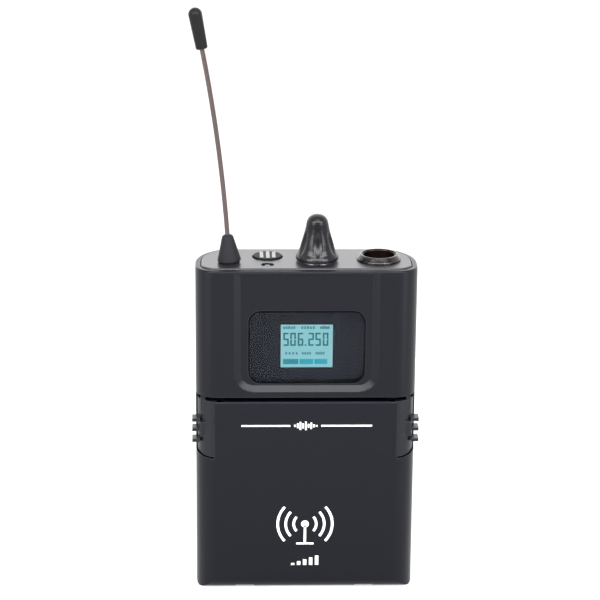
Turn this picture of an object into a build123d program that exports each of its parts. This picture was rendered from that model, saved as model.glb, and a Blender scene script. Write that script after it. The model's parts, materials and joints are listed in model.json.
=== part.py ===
from build123d import *
import os
from math import cos, radians, sin

# Wireless bodypack transmitter. Millimetres, +Z up, front facing -Y.
# The origin is the centre of the case's flat bottom face.

os.makedirs("parts", exist_ok=True)

# ---------------------------------------------------------------- driving sizes
WIDTH = 65.0
DEPTH = 24.0
HEIGHT = 100.0
WALL = 2.0                  # shells
SEAM_Z = HEIGHT - 39.4      # middle of the gap between the front shell and the door
SEAM_GAP = 1.4
CELL_R = 7.1                # AA cell
CELL_LENGTH = 50.5
HINGE_BARREL_R = 3.5        # rounded bottom edge of the door
PIN_R = 0.75                # door hinge pin
WHIP_R = 0.675
WHIP_LENGTH = 53.9
SHAFT_R = 2.0               # potentiometer shaft
PIN_CLEAR = 0.05            # running clearance of pins and shafts
PART_CLEAR = 0.3            # clearance between pieces that move past each other
FIT_CLEAR = 0.05            # clearance of pieces seated in each other

# ---------------------------------------------------------------- case outline
FRONT_R = 6.5               # front corner of the outline
SIDE_R = 14.5               # long arc of the side
BACK_R = 6.0                # back corner
SIDE_TURN = 55.0            # degrees turned along the side arc

FRONT_Y = -DEPTH / 2
BACK_Y = DEPTH / 2
PART_Y = FRONT_Y + FRONT_R  # parting plane of the front and rear shells
HALF_W = WIDTH / 2
BACK_CX = HALF_W - SIDE_R + (SIDE_R - BACK_R) * cos(radians(SIDE_TURN))
BACK_CY = BACK_Y - BACK_R
SIDE_CY = BACK_CY - (SIDE_R - BACK_R) * sin(radians(SIDE_TURN))


def case_outline(inset=0.0):
    """Add the case's plan outline, moved inwards by inset, to the open sketch."""
    half_w = HALF_W - inset
    with BuildLine() as outline:
        Line((0, FRONT_Y + inset), (HALF_W - FRONT_R, FRONT_Y + inset))
        CenterArc((HALF_W - FRONT_R, PART_Y), FRONT_R - inset, -90, 90)
        Line((half_w, PART_Y), (half_w, SIDE_CY))
        CenterArc((HALF_W - SIDE_R, SIDE_CY), SIDE_R - inset, 0, SIDE_TURN)
        CenterArc((BACK_CX, BACK_CY), BACK_R - inset, SIDE_TURN, 90 - SIDE_TURN)
        Line((BACK_CX, BACK_Y - inset), (0, BACK_Y - inset))
        mirror(about=Plane.YZ)
    make_face(outline.edges())


def add_box(x_span, y_span, z_span, mode=Mode.ADD):
    """Add a box given by its low and high values to the open part."""
    with BuildSketch(Plane.XY.offset(z_span[0])) as section:
        with Locations(((x_span[0] + x_span[1]) / 2, (y_span[0] + y_span[1]) / 2)):
            Rectangle(abs(x_span[1] - x_span[0]), y_span[1] - y_span[0])
    extrude(section.sketch, amount=z_span[1] - z_span[0], mode=mode)


def cut_box(x_span, y_span, z_span):
    """Cut a box given by its low and high values from the open part."""
    add_box(x_span, y_span, z_span, Mode.SUBTRACT)


def rod_z(places, radius, low, high, mode=Mode.ADD):
    """Add upright round bars at the (x, y) places, from low to high."""
    with BuildSketch(Plane.XY.offset(low)) as section:
        with Locations(*places):
            Circle(radius)
    extrude(section.sketch, amount=high - low, mode=mode)


def rod_y(places, radius, low, high, mode=Mode.ADD):
    """Add round bars along Y at the (x, z) places, from low to high."""
    with BuildSketch(Plane.XZ.offset(-low)) as section:
        with Locations(*places):
            Circle(radius)
    extrude(section.sketch, amount=low - high, mode=mode)


def rod_x(places, radius, low, high, mode=Mode.ADD):
    """Add round bars along X at the (y, z) places, from low to high."""
    with BuildSketch(Plane.YZ.offset(low)) as section:
        with Locations(*places):
            Circle(radius)
    extrude(section.sketch, amount=high - low, mode=mode)


def save(part, label):
    """Label a finished piece and write it."""
    part.label = label
    export_step(part, f"parts/{label}.step")


# ---------------------------------------------------------------- places and levels
PLATE_T = 1.6
PLATE_PROUD = 0.4
PLATE_INSET = 1.75
POCKET_INSET = 1.5
PLATE_TOP = HEIGHT + PLATE_PROUD
PLATE_LOW = PLATE_TOP - PLATE_T
DOOR_TOP = SEAM_Z - SEAM_GAP / 2
FRONT_LOW = SEAM_Z + SEAM_GAP / 2

HINGE_Y = FRONT_Y + HINGE_BARREL_R
HINGE_Z = HINGE_BARREL_R
SEAT_R = HINGE_BARREL_R + 0.2
EYE_R = 2.0                 # case lug round the hinge pin
EYE_SPACE = EYE_R + 0.4     # door inside, round that lug
LUG_X = (15.5, 20.5)        # case lugs, on both sides
EAR_X = (20.8, 23.8)        # door ears, on both sides
LUG_BACK = PART_Y + 1.9     # where the lugs stand on the rear shell's floor
LUG_FOOT = 1.4

ANTENNA = (10.0 - HALF_W, -3.4)
BUTTON = (-11.3, 2.5)
LED = (-11.4, -6.0)
KNOB = (3.2, -1.7)
SOCKET = (HALF_W - 11.1, -0.6)

U_HALF_W = HALF_W - 11.3
U_BOTTOM = FRONT_LOW + 1.7
U_DEPTH = 1.0
U_SLOPE = 1.9
U_CORNER_R = 5.8
LIP_Z = HEIGHT - 0.8
WINDOW = (0.1, FRONT_LOW + 15.25)       # centre, x and z
WINDOW_SIZE = (33.4, 21.5)
WINDOW_R = 3.2
WINDOW_GAP = 0.45
LENS_FLANGE = 1.5
LENS_FLANGE_T = 0.8
SUNK = 0.05                 # lens face below the recessed panel

CASE_SCREW_X = HALF_W - 12.5
CASE_SCREW_Z = FRONT_LOW + 3.2
CASE_SCREW_R = 1.0
BOSS_WALL = 1.1
HEAD_H = 1.2

DISPLAY_BOARD_Y = (FRONT_Y + 6.8, FRONT_Y + 7.8)
DISPLAY_BOARD_Z = (WINDOW[1] - 9.35, WINDOW[1] + 11.65)
DISPLAY_BOARD_HALF_W = 22.0
DISPLAY_POSTS = [(x, z + edge) for x in (-20.4, 20.4) for z, edge in zip(DISPLAY_BOARD_Z, (1.6, -1.6))]
MAIN_BOARD_Y = (BACK_Y - 6.0, BACK_Y - 4.4)
MAIN_BOARD_Z = (FRONT_LOW + 5.9, PLATE_LOW - 2.4)
MAIN_BOARD_HALF_W = 25.4
MAIN_POSTS = [(x, z + edge) for x in (-21.0, 21.0) for z, edge in zip(MAIN_BOARD_Z, (2.8, -2.8))]
SMALL_BOARD_TOP = PLATE_LOW - 6.8    # board under the button and the light
CELL_Y = 1.5
POST_R = 1.6
SMALL_SCREW_R = 0.7
SMALL_HEAD_R = 1.4
SMALL_HEAD_H = 0.9

CLIP_HALF_W = 10.0
CLIP_T = 0.9
CLIP_GAP = 4.6              # between foot and arm
CLIP_BEND_Z = HEIGHT - 14.0
CLIP_FOOT_LOW = CLIP_BEND_Z - 20.0
CLIP_ARM_LOW = 26.0
CLIP_SCREW_Z = (CLIP_BEND_Z - 16.0, CLIP_BEND_Z - 6.0)
CLIP_SCREW_R = 1.25
CLIP_SCREW_END = BACK_Y - 3.4

IN_FRONT = FRONT_Y + WALL
IN_BACK = BACK_Y - WALL
FAR = WIDTH + HEIGHT        # reach of cuts that run right out of a piece

# ---------------------------------------------------------------- front shell
RIM_CHAMFER = 0.35
HEAD_SINK = 0.3             # screw heads below the back face
with BuildPart() as front_shell:
    with BuildSketch(Plane.XY.offset(FRONT_LOW)):
        case_outline()
    extrude(amount=HEIGHT - FRONT_LOW)
    chamfer(front_shell.edges().group_by(Axis.Z)[-1], RIM_CHAMFER)
    with BuildSketch(Plane.XY.offset(FRONT_LOW + WALL)):
        case_outline(WALL)
    extrude(amount=HEIGHT, mode=Mode.SUBTRACT)
    with BuildSketch(Plane.XY.offset(PLATE_LOW)):
        case_outline(POCKET_INSET)
    extrude(amount=HEIGHT, mode=Mode.SUBTRACT)
    cut_box((-FAR, FAR), (PART_Y, FAR), (FRONT_LOW - 1, HEIGHT + 1))
    # sunken U panel with sloping sides, closed at the top by the lip
    with BuildSketch(Plane.XZ.offset(-FRONT_Y)) as u_mouth:
        with BuildLine():
            Polyline((0, U_BOTTOM), (U_HALF_W, U_BOTTOM), (U_HALF_W, LIP_Z), (0, LIP_Z))
            mirror(about=Plane.YZ)
        make_face()
        fillet(u_mouth.vertices().group_by(Axis.Y)[0], U_CORNER_R)
    with BuildSketch(Plane.XZ.offset(-FRONT_Y - U_DEPTH)) as u_floor:
        with BuildLine():
            Polyline(
                (0, U_BOTTOM + U_SLOPE),
                (U_HALF_W - U_SLOPE, U_BOTTOM + U_SLOPE),
                (U_HALF_W - U_SLOPE, LIP_Z),
                (0, LIP_Z),
            )
            mirror(about=Plane.YZ)
        make_face()
        fillet(u_floor.vertices().group_by(Axis.Y)[0], U_CORNER_R - U_SLOPE)
    loft(mode=Mode.SUBTRACT)
    mouth = (WINDOW_SIZE[0] + 2 * WINDOW_GAP, WINDOW_SIZE[1] + 2 * WINDOW_GAP)
    with BuildSketch(Plane.XZ.offset(-FRONT_Y)):
        with Locations(WINDOW):
            RectangleRounded(*mouth, WINDOW_R + WINDOW_GAP)
    extrude(amount=-WALL - 1, mode=Mode.SUBTRACT)
    # posts for the display board and bosses for the case screws
    rod_y(DISPLAY_POSTS, POST_R, IN_FRONT, DISPLAY_BOARD_Y[0])
    rod_y(DISPLAY_POSTS, SMALL_SCREW_R, IN_FRONT + 1, DISPLAY_BOARD_Y[0], Mode.SUBTRACT)
    case_bosses = [(-CASE_SCREW_X, CASE_SCREW_Z), (CASE_SCREW_X, CASE_SCREW_Z)]
    rod_y(case_bosses, CASE_SCREW_R + BOSS_WALL, IN_FRONT, PART_Y)
    rod_y(case_bosses, CASE_SCREW_R, IN_FRONT, PART_Y, Mode.SUBTRACT)
save(front_shell.part, "front_shell")

# ---------------------------------------------------------------- rear shell
with BuildPart() as rear_shell:
    with BuildSketch():
        case_outline()
    extrude(amount=HEIGHT)
    fillet(rear_shell.edges().group_by(Axis.Z)[0], 0.8)
    chamfer(rear_shell.edges().group_by(Axis.Z)[-1], RIM_CHAMFER)
    with BuildSketch(Plane.XY.offset(WALL)):
        case_outline(WALL)
    extrude(amount=HEIGHT, mode=Mode.SUBTRACT)
    with BuildSketch(Plane.XY.offset(PLATE_LOW)):
        case_outline(POCKET_INSET)
    extrude(amount=HEIGHT, mode=Mode.SUBTRACT)
    cut_box((-FAR, FAR), (-FAR, PART_Y), (HINGE_Z, HEIGHT + 1))
    cut_box((-FAR, FAR), (-FAR, HINGE_Y), (-1, HEIGHT + 1))
    rod_x([(HINGE_Y, HINGE_Z)], SEAT_R, -FAR, FAR, Mode.SUBTRACT)
    # hinge lugs round the door pin
    for side in (-1, 1):
        with BuildSketch(Plane.YZ.offset(min(side * LUG_X[0], side * LUG_X[1]))):
            with Locations((HINGE_Y, HINGE_Z)):
                Circle(EYE_R)
            with Locations(((HINGE_Y + LUG_BACK) / 2, HINGE_Z)):
                Rectangle(LUG_BACK - HINGE_Y, 2 * EYE_R)
            with Locations((LUG_BACK - LUG_FOOT / 2, (HINGE_Z + EYE_R) / 2)):
                Rectangle(LUG_FOOT, HINGE_Z + EYE_R)
        extrude(amount=LUG_X[1] - LUG_X[0])
    rod_x([(HINGE_Y, HINGE_Z)], PIN_R, -FAR, FAR, Mode.SUBTRACT)
    # bosses for the case screws, counterbored from the back
    rod_y(case_bosses, CASE_SCREW_R + BOSS_WALL, PART_Y, IN_BACK)
    rod_y(case_bosses, CASE_SCREW_R, PART_Y, BACK_Y, Mode.SUBTRACT)
    rod_y(case_bosses, 2 * CASE_SCREW_R, BACK_Y - HEAD_H - HEAD_SINK, BACK_Y, Mode.SUBTRACT)
    # posts for the main board
    rod_y(MAIN_POSTS, POST_R, MAIN_BOARD_Y[1], IN_BACK)
    rod_y(MAIN_POSTS, SMALL_SCREW_R, MAIN_BOARD_Y[1], IN_BACK + 1, Mode.SUBTRACT)
    # bosses for the belt clip screws
    clip_places = [(0, z) for z in CLIP_SCREW_Z]
    rod_y(clip_places, CLIP_SCREW_R + BOSS_WALL, CLIP_SCREW_END, IN_BACK)
    rod_y(clip_places, CLIP_SCREW_R, CLIP_SCREW_END, BACK_Y, Mode.SUBTRACT)
save(rear_shell.part, "rear_shell")

# ---------------------------------------------------------------- top plate
BUTTON_R = 4.25
LED_HOLE_R = 1.9
LED_R = 1.5
STUD_R = 2.0
BUSHING_R = SHAFT_R + 1.5
SHELL_R = 5.05              # threaded tube of the socket
with BuildPart() as top_plate:
    with BuildSketch(Plane.XY.offset(PLATE_LOW)):
        case_outline(PLATE_INSET)
    extrude(amount=PLATE_T)
    chamfer(top_plate.edges().group_by(Axis.Z)[-1], 0.3)
    rod_z([ANTENNA], STUD_R + FIT_CLEAR, PLATE_LOW, PLATE_TOP, Mode.SUBTRACT)
    rod_z([BUTTON], BUTTON_R + PART_CLEAR, PLATE_LOW, PLATE_TOP, Mode.SUBTRACT)
    rod_z([LED], LED_HOLE_R, PLATE_LOW, PLATE_TOP, Mode.SUBTRACT)
    rod_z([KNOB], BUSHING_R + FIT_CLEAR, PLATE_LOW, PLATE_TOP, Mode.SUBTRACT)
    rod_z([SOCKET], SHELL_R + FIT_CLEAR, PLATE_LOW, PLATE_TOP, Mode.SUBTRACT)
save(top_plate.part, "top_plate")

# ---------------------------------------------------------------- battery door
DOOR_WALL = 1.8
LATCH_X = HALF_W - 5.4      # front edge of the latch
LATCH_LOW = DOOR_TOP - 17.7
LATCH_STEP = 0.45           # latch face below the door face
LATCH_LIP = 0.25            # thin edge of the door over the latch
LATCH_T = 1.5
SLIT = 0.3                  # slit under the latch
SLIT_SAG = 0.15
SLIT_RISE = 1.7             # of the slit, from the front edge to past the side
POST_X = HALF_W - 9.9       # spring posts of the latches
POST_W = 1.6
POST_HALF_H = 3.0
SPRING_Z = DOOR_TOP - 8.9
SPRING_Y = FRONT_Y + 4.6
SPRING_R = 1.25
SPRING_WIRE_R = 0.2


def latch_window(low, front_x, side):
    """Sketch the latch's outline on the front, curved under its lower end."""
    slit_end = (HALF_W + 1, low + SLIT_RISE)
    with BuildLine() as outline:
        Line((front_x, DOOR_TOP + 1), (front_x, low))
        ThreePointArc((front_x, low), ((front_x + HALF_W) / 2, low + SLIT_SAG), slit_end)
        Line(slit_end, (HALF_W + 1, DOOR_TOP + 1))
        Line((HALF_W + 1, DOOR_TOP + 1), (front_x, DOOR_TOP + 1))
        if side < 0:
            mirror(about=Plane.YZ, mode=Mode.REPLACE)
    make_face(outline.edges())


with BuildPart() as battery_door:
    with BuildSketch():
        case_outline()
    extrude(amount=DOOR_TOP)
    chamfer(battery_door.edges().group_by(Axis.Z)[-1], 0.3)
    with BuildSketch(Plane.XY.offset(HINGE_Z + 1.5)):
        case_outline(DOOR_WALL)
    extrude(amount=DOOR_TOP - HINGE_Z - 1.5 - DOOR_WALL, mode=Mode.SUBTRACT)
    cut_box((-FAR, FAR), (PART_Y, FAR), (HINGE_Z, FAR))
    # round the bottom edge about the hinge axis
    with BuildSketch(Plane.YZ.offset(-FAR)):
        with Locations((0, 0)):
            Rectangle(4 * DEPTH, 2 * HINGE_Z)
        with Locations((HINGE_Y, HINGE_Z)):
            Circle(HINGE_BARREL_R, mode=Mode.SUBTRACT)
    extrude(amount=2 * FAR, mode=Mode.SUBTRACT)
    # hollow barrel between the ears, open below where the case lugs pass
    rod_x([(HINGE_Y, HINGE_Z)], EYE_SPACE, -EAR_X[0], EAR_X[0], Mode.SUBTRACT)
    rod_x([(HINGE_Y, HINGE_Z)], PIN_R + PIN_CLEAR, -EAR_X[1], EAR_X[1], Mode.SUBTRACT)
    for side in (-1, 1):
        lug_low = min(side * (LUG_X[0] - PART_CLEAR), side * EAR_X[0])
        with BuildSketch(Plane.YZ.offset(lug_low)):
            with BuildLine():
                Polyline(
                    (HINGE_Y, HINGE_Z + EYE_SPACE),
                    (HINGE_Y, HINGE_Z),
                    (HINGE_Y - EYE_SPACE, HINGE_Z),
                    (HINGE_Y - EYE_SPACE, -FIT_CLEAR),
                    (PART_Y + EYE_SPACE, -FIT_CLEAR),
                    (PART_Y + EYE_SPACE, HINGE_Z + EYE_SPACE),
                    close=True,
                )
            make_face()
        extrude(amount=EAR_X[0] - LUG_X[0] + PART_CLEAR, mode=Mode.SUBTRACT)
    # side windows for the latches, with a thin lip along their front edges
    for side in (-1, 1):
        with BuildSketch(Plane.XZ.offset(FAR)):
            latch_window(LATCH_LOW, LATCH_X, side)
        extrude(amount=-2 * FAR, mode=Mode.SUBTRACT)
        lip = (side * (LATCH_X - 3.0), side * (LATCH_X + 1))
        lip_low = FRONT_Y + LATCH_LIP
        cut_box((min(lip), max(lip)), (lip_low, PART_Y), (LATCH_LOW - 0.3, DOOR_TOP + 1))
        # post that the latch spring presses on
        post = (side * POST_X, side * (POST_X - POST_W))
        post_y = (FRONT_Y + DOOR_WALL, PART_Y - PART_CLEAR)
        add_box((min(post), max(post)), post_y, (SPRING_Z - POST_HALF_H, SPRING_Z + POST_HALF_H))
save(battery_door.part, "battery_door")

# ---------------------------------------------------------------- latches
NOSE_X = HALF_W - 2.1
NOSE_HALF_W = 0.7
NOSE_TOP = DOOR_TOP + 1.0
RIB_Z = (DOOR_TOP - 6.4, DOOR_TOP - 9.4, DOOR_TOP - 12.8)
RIB_OUT = HALF_W + 1.1
RIB_H = 1.0
RIB_Y = (FRONT_Y + 2.4, FRONT_Y + 6.1)
SEAT_T = 1.2                # spring seat behind the latch face
SEAT_HALF_H = 2.2
SPRING_PLAY = 0.1           # at each end of the spring
SPRING_TURNS = 4.5
TONGUE = 0.7                # how far the latch reaches under the door's lip
for side, name in ((-1, "left"), (1, "right")):
    with BuildPart() as latch:
        with BuildSketch(Plane.XY.offset(LATCH_LOW)):
            case_outline(LATCH_STEP)
        extrude(amount=DOOR_TOP - LATCH_LOW)
        with BuildSketch(Plane.XY.offset(LATCH_LOW - 1)):
            case_outline(LATCH_STEP + LATCH_T)
        extrude(amount=DOOR_TOP, mode=Mode.SUBTRACT)
        cut_box((-FAR, FAR), (PART_Y, FAR), (0, FAR))
        with BuildSketch(Plane.XZ.offset(FAR)):
            latch_window(LATCH_LOW + SLIT, LATCH_X - TONGUE, side)
        extrude(amount=-2 * FAR, mode=Mode.INTERSECT)
        # spring seat behind the face, hook nose above it, finger ribs outside
        inner = HALF_W - LATCH_STEP - LATCH_T
        seat = (side * (inner - SEAT_T), side * (inner + LATCH_T / 2))
        seat_y = (RIB_Y[0] - 1.0, PART_Y - 0.2)
        add_box((min(seat), max(seat)), seat_y, (SPRING_Z - SEAT_HALF_H, SPRING_Z + SEAT_HALF_H))
        nose = (side * (NOSE_X - NOSE_HALF_W), side * (NOSE_X + NOSE_HALF_W))
        add_box((min(nose), max(nose)), (RIB_Y[0], PART_Y - 0.2), (DOOR_TOP - 4, NOSE_TOP))
        ribs = (side * (inner + LATCH_T / 2), side * RIB_OUT)
        for z in RIB_Z:
            add_box((min(ribs), max(ribs)), RIB_Y, (z - RIB_H / 2, z + RIB_H / 2))
    save(latch.part, f"latch_{name}")

    spring_start = side * (POST_X + SPRING_PLAY)
    spring_length = inner - SEAT_T - POST_X - 2 * SPRING_PLAY
    coil = Helix(
        spring_length / SPRING_TURNS, spring_length - 2 * SPRING_WIRE_R, SPRING_R,
        center=(spring_start + side * SPRING_WIRE_R, SPRING_Y, SPRING_Z), direction=(side, 0, 0),
    )
    with BuildPart() as latch_spring:
        with BuildSketch(Plane(origin=coil @ 0, z_dir=coil % 0)):
            Circle(SPRING_WIRE_R)
        sweep(path=coil, is_frenet=True)
    save(latch_spring.part, f"latch_spring_{name}")

# ---------------------------------------------------------------- door hinge pin
with BuildPart() as hinge_pin:
    rod_x([(HINGE_Y, HINGE_Z)], PIN_R, -EAR_X[1], EAR_X[1])
save(hinge_pin.part, "door_hinge_pin")

# ---------------------------------------------------------------- display
LENS_Y = FRONT_Y + U_DEPTH + SUNK
LCD_HALF = (10.2, 9.4)      # LCD glass, half width and half height
LCD_CENTRE = (0.12, WINDOW[1] + 0.25)
LCD_Y = IN_FRONT + LENS_FLANGE_T + 0.15
LCD_T = 1.6
GUIDE_T = 1.4
HOLDER_WALL = 1.4


def plate_y(centre, half, low, high, radius, mode=Mode.ADD):
    """Add an upright plate across Y, given by its centre and half sizes in X and Z."""
    with BuildSketch(Plane.XZ.offset(-low)) as section:
        with Locations(centre):
            RectangleRounded(2 * half[0], 2 * half[1], radius)
    extrude(section.sketch, amount=low - high, mode=mode)


lens_half = (WINDOW_SIZE[0] / 2, WINDOW_SIZE[1] / 2)
with BuildPart() as display_lens:
    plate_y(WINDOW, lens_half, LENS_Y, IN_FRONT, WINDOW_R)
    flange_half = (lens_half[0] + LENS_FLANGE, lens_half[1] + LENS_FLANGE)
    plate_y(WINDOW, flange_half, IN_FRONT, IN_FRONT + LENS_FLANGE_T, WINDOW_R)
save(display_lens.part, "display_lens")

with BuildPart() as lcd_glass:
    plate_y(LCD_CENTRE, LCD_HALF, LCD_Y, LCD_Y + LCD_T, 0.3)
save(lcd_glass.part, "lcd_glass")

with BuildPart() as light_guide:
    plate_y(LCD_CENTRE, LCD_HALF, LCD_Y + LCD_T, LCD_Y + LCD_T + GUIDE_T, 0.3)
save(light_guide.part, "light_guide")

with BuildPart() as lcd_holder:
    holder_half = (LCD_HALF[0] + HOLDER_WALL, LCD_HALF[1] + HOLDER_WALL)
    plate_y(LCD_CENTRE, holder_half, LCD_Y, DISPLAY_BOARD_Y[0], 0.8)
    seat_half = (LCD_HALF[0] + FIT_CLEAR, LCD_HALF[1] + FIT_CLEAR)
    plate_y(LCD_CENTRE, seat_half, LCD_Y, LCD_Y + LCD_T + GUIDE_T, 0.3, Mode.SUBTRACT)
save(lcd_holder.part, "lcd_holder")

display_centre = (0, (DISPLAY_BOARD_Z[0] + DISPLAY_BOARD_Z[1]) / 2)
display_half = (DISPLAY_BOARD_HALF_W, (DISPLAY_BOARD_Z[1] - DISPLAY_BOARD_Z[0]) / 2)
with BuildPart() as display_board:
    plate_y(display_centre, display_half, *DISPLAY_BOARD_Y, 0.6)
    rod_y(DISPLAY_POSTS, SMALL_SCREW_R + FIT_CLEAR, *DISPLAY_BOARD_Y, Mode.SUBTRACT)
save(display_board.part, "display_board")

with BuildPart() as display_screws:
    rod_y(DISPLAY_POSTS, SMALL_SCREW_R, IN_FRONT + 1.5, DISPLAY_BOARD_Y[1])
    rod_y(DISPLAY_POSTS, SMALL_HEAD_R, DISPLAY_BOARD_Y[1], DISPLAY_BOARD_Y[1] + SMALL_HEAD_H)
save(display_screws.part, "display_screws")

# ---------------------------------------------------------------- main board
main_centre = (0, (MAIN_BOARD_Z[0] + MAIN_BOARD_Z[1]) / 2)
main_half = (MAIN_BOARD_HALF_W, (MAIN_BOARD_Z[1] - MAIN_BOARD_Z[0]) / 2)
SHIELD_Z = (MAIN_BOARD_Z[0] + 1.3, MAIN_BOARD_Z[0] + 21.3)
SHIELD = ((-17.0, -1.0), (MAIN_BOARD_Y[0] - 2.4, MAIN_BOARD_Y[0]), SHIELD_Z)
SHIELD_T = 0.3
CHIP_T = 1.2
CHIPS = ((6.5, 8.8, 4.5, 4.5), (16.5, 6.8, 2.0, 3.0), (14.0, 16.8, 3.0, 1.5))   # x, up, half sizes
with BuildPart() as main_board:
    plate_y(main_centre, main_half, *MAIN_BOARD_Y, 1.0)
    rod_y(MAIN_POSTS, SMALL_SCREW_R + FIT_CLEAR, *MAIN_BOARD_Y, Mode.SUBTRACT)
    # packaged parts soldered to the front
    for x, up, half_w, half_h in CHIPS:
        z = MAIN_BOARD_Z[0] + up
        add_box((x - half_w, x + half_w), (MAIN_BOARD_Y[0] - CHIP_T, MAIN_BOARD_Y[0]), (z - half_h, z + half_h))
save(main_board.part, "main_board")

with BuildPart() as rf_shield:
    add_box(*SHIELD)
    inner_shield = [(low + SHIELD_T, high - SHIELD_T) for low, high in SHIELD]
    cut_box(inner_shield[0], (inner_shield[1][0], SHIELD[1][1]), inner_shield[2])
save(rf_shield.part, "rf_shield")

with BuildPart() as board_screws:
    rod_y(MAIN_POSTS, SMALL_SCREW_R, MAIN_BOARD_Y[0], IN_BACK)
    rod_y(MAIN_POSTS, SMALL_HEAD_R, MAIN_BOARD_Y[0] - SMALL_HEAD_H, MAIN_BOARD_Y[0])
save(board_screws.part, "board_screws")

LINK_X = (1.0, 13.0)
LINK_Z = (MAIN_BOARD_Z[0] + 1.0, MAIN_BOARD_Z[0] + 3.2)
LINK_PITCH = 1.5
LINK_PIN_R = 0.3
with BuildPart() as board_connector:
    add_box(LINK_X, (DISPLAY_BOARD_Y[1], DISPLAY_BOARD_Y[1] + 3.0), LINK_Z)
    add_box(LINK_X, (MAIN_BOARD_Y[0] - 3.5, MAIN_BOARD_Y[0]), LINK_Z)
    link_pins = [(LINK_X[0] + LINK_PITCH * (i + 1), (LINK_Z[0] + LINK_Z[1]) / 2) for i in range(7)]
    rod_y(link_pins, LINK_PIN_R, DISPLAY_BOARD_Y[1], MAIN_BOARD_Y[0])
save(board_connector.part, "board_connector")

# ---------------------------------------------------------------- antenna
BOOT_LEAN = 4.0             # degrees from upright
TIP_LEAN = 10.7
BOOT_H = 8.4
BOOT_BASE_R = 3.4
BOOT_TOP_R = 1.65
STUD_TOP = 3.0
STUD_NUT_FLAT_R = STUD_R + 1.0
STUD_NUT_H = 2.0
CAP_R = 1.95
CAP_LOW_R = 1.7
CAP_ROUND = 0.5
CAP_START = 1.3             # bare whip between the arc's end and the cap
CAP_LENGTH = 12.0


def leaning(origin_x, origin_z, lean):
    """Upright plane through the antenna whose Y axis leans to the left."""
    across = (cos(radians(lean)), 0, sin(radians(lean)))
    return Plane(origin=(origin_x, ANTENNA[1], origin_z), x_dir=across, z_dir=(0, -1, 0))


boot_plane = leaning(ANTENNA[0], PLATE_TOP, BOOT_LEAN)
boot_axis = Axis(boot_plane.origin, boot_plane.y_dir)
whip_start = boot_plane.origin + boot_plane.y_dir * BOOT_H
whip_low = boot_plane.origin + boot_plane.y_dir * (STUD_TOP + 0.6)
whip_arc_r = WHIP_LENGTH / radians(TIP_LEAN - BOOT_LEAN)
with BuildPart() as antenna_whip:
    with BuildLine():
        Line(whip_low, whip_start)
        with BuildLine(Plane.XZ.offset(-ANTENNA[1])):
            bow = JernArc(
                (whip_start.X, whip_start.Z), (-sin(radians(BOOT_LEAN)), cos(radians(BOOT_LEAN))),
                whip_arc_r, TIP_LEAN - BOOT_LEAN,
            )
        Line(bow @ 1, (bow @ 1) + (bow % 1) * (CAP_START + CAP_LENGTH - 2))
    with BuildSketch(Plane(origin=whip_low, z_dir=boot_plane.y_dir)):
        Circle(WHIP_R)
    sweep()
save(antenna_whip.part, "antenna_whip")

whip_end = bow @ 1
tip_plane = leaning(whip_end.X, whip_end.Z, TIP_LEAN)
with BuildPart() as antenna_cap:
    with BuildSketch(tip_plane):
        with BuildLine():
            Line((0, CAP_START), (CAP_LOW_R - CAP_ROUND, CAP_START))
            low_round = CAP_START + CAP_ROUND
            CenterArc((CAP_LOW_R - CAP_ROUND, low_round), CAP_ROUND, -90, 90)
            Line((CAP_LOW_R, low_round), (CAP_R, CAP_START + CAP_LENGTH - CAP_R))
            CenterArc((0, CAP_START + CAP_LENGTH - CAP_R), CAP_R, 0, 90)
            Line((0, CAP_START + CAP_LENGTH), (0, CAP_START))
        make_face()
    revolve(axis=Axis(tip_plane.origin, tip_plane.y_dir))
    add(antenna_whip.part, mode=Mode.SUBTRACT)
save(antenna_cap.part, "antenna_cap")

with BuildPart() as antenna_stud:
    rod_z([ANTENNA], STUD_R, PLATE_LOW - 5.5, PLATE_TOP + STUD_TOP)
    rod_z([ANTENNA], STUD_R + 0.9, PLATE_TOP, PLATE_TOP + 0.8)
save(antenna_stud.part, "antenna_stud")

with BuildPart() as antenna_boot:
    with BuildSketch(boot_plane):
        with BuildLine():
            Polyline(
                (0, -1), (BOOT_BASE_R - 0.4, -1), (BOOT_BASE_R - 0.4, 0.1), (BOOT_BASE_R, 0.6),
                (BOOT_BASE_R, 1.0), (BOOT_TOP_R, BOOT_H - 0.6),
            )
            RadiusArc((BOOT_TOP_R, BOOT_H - 0.6), (WHIP_R, BOOT_H), -1.4)
            Polyline((WHIP_R, BOOT_H), (0, BOOT_H), (0, -1))
        make_face()
    revolve(axis=boot_axis)
    split(bisect_by=Plane.XY.offset(PLATE_TOP), keep=Keep.TOP)
    add(antenna_stud.part, mode=Mode.SUBTRACT)
    add(antenna_whip.part, mode=Mode.SUBTRACT)
save(antenna_boot.part, "antenna_boot")


def hex_nut(place, flat_r, low, high):
    """Add a hexagonal nut with flat_r from its axis to each flat."""
    with BuildSketch(Plane.XY.offset(low)) as section:
        with Locations(place):
            RegularPolygon(flat_r, 6, major_radius=False)
    extrude(section.sketch, amount=high - low)


with BuildPart() as antenna_nut:
    hex_nut(ANTENNA, STUD_NUT_FLAT_R, PLATE_LOW - STUD_NUT_H, PLATE_LOW)
    rod_z([ANTENNA], STUD_R, PLATE_LOW - STUD_NUT_H, PLATE_LOW, Mode.SUBTRACT)
save(antenna_nut.part, "antenna_nut")

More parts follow.
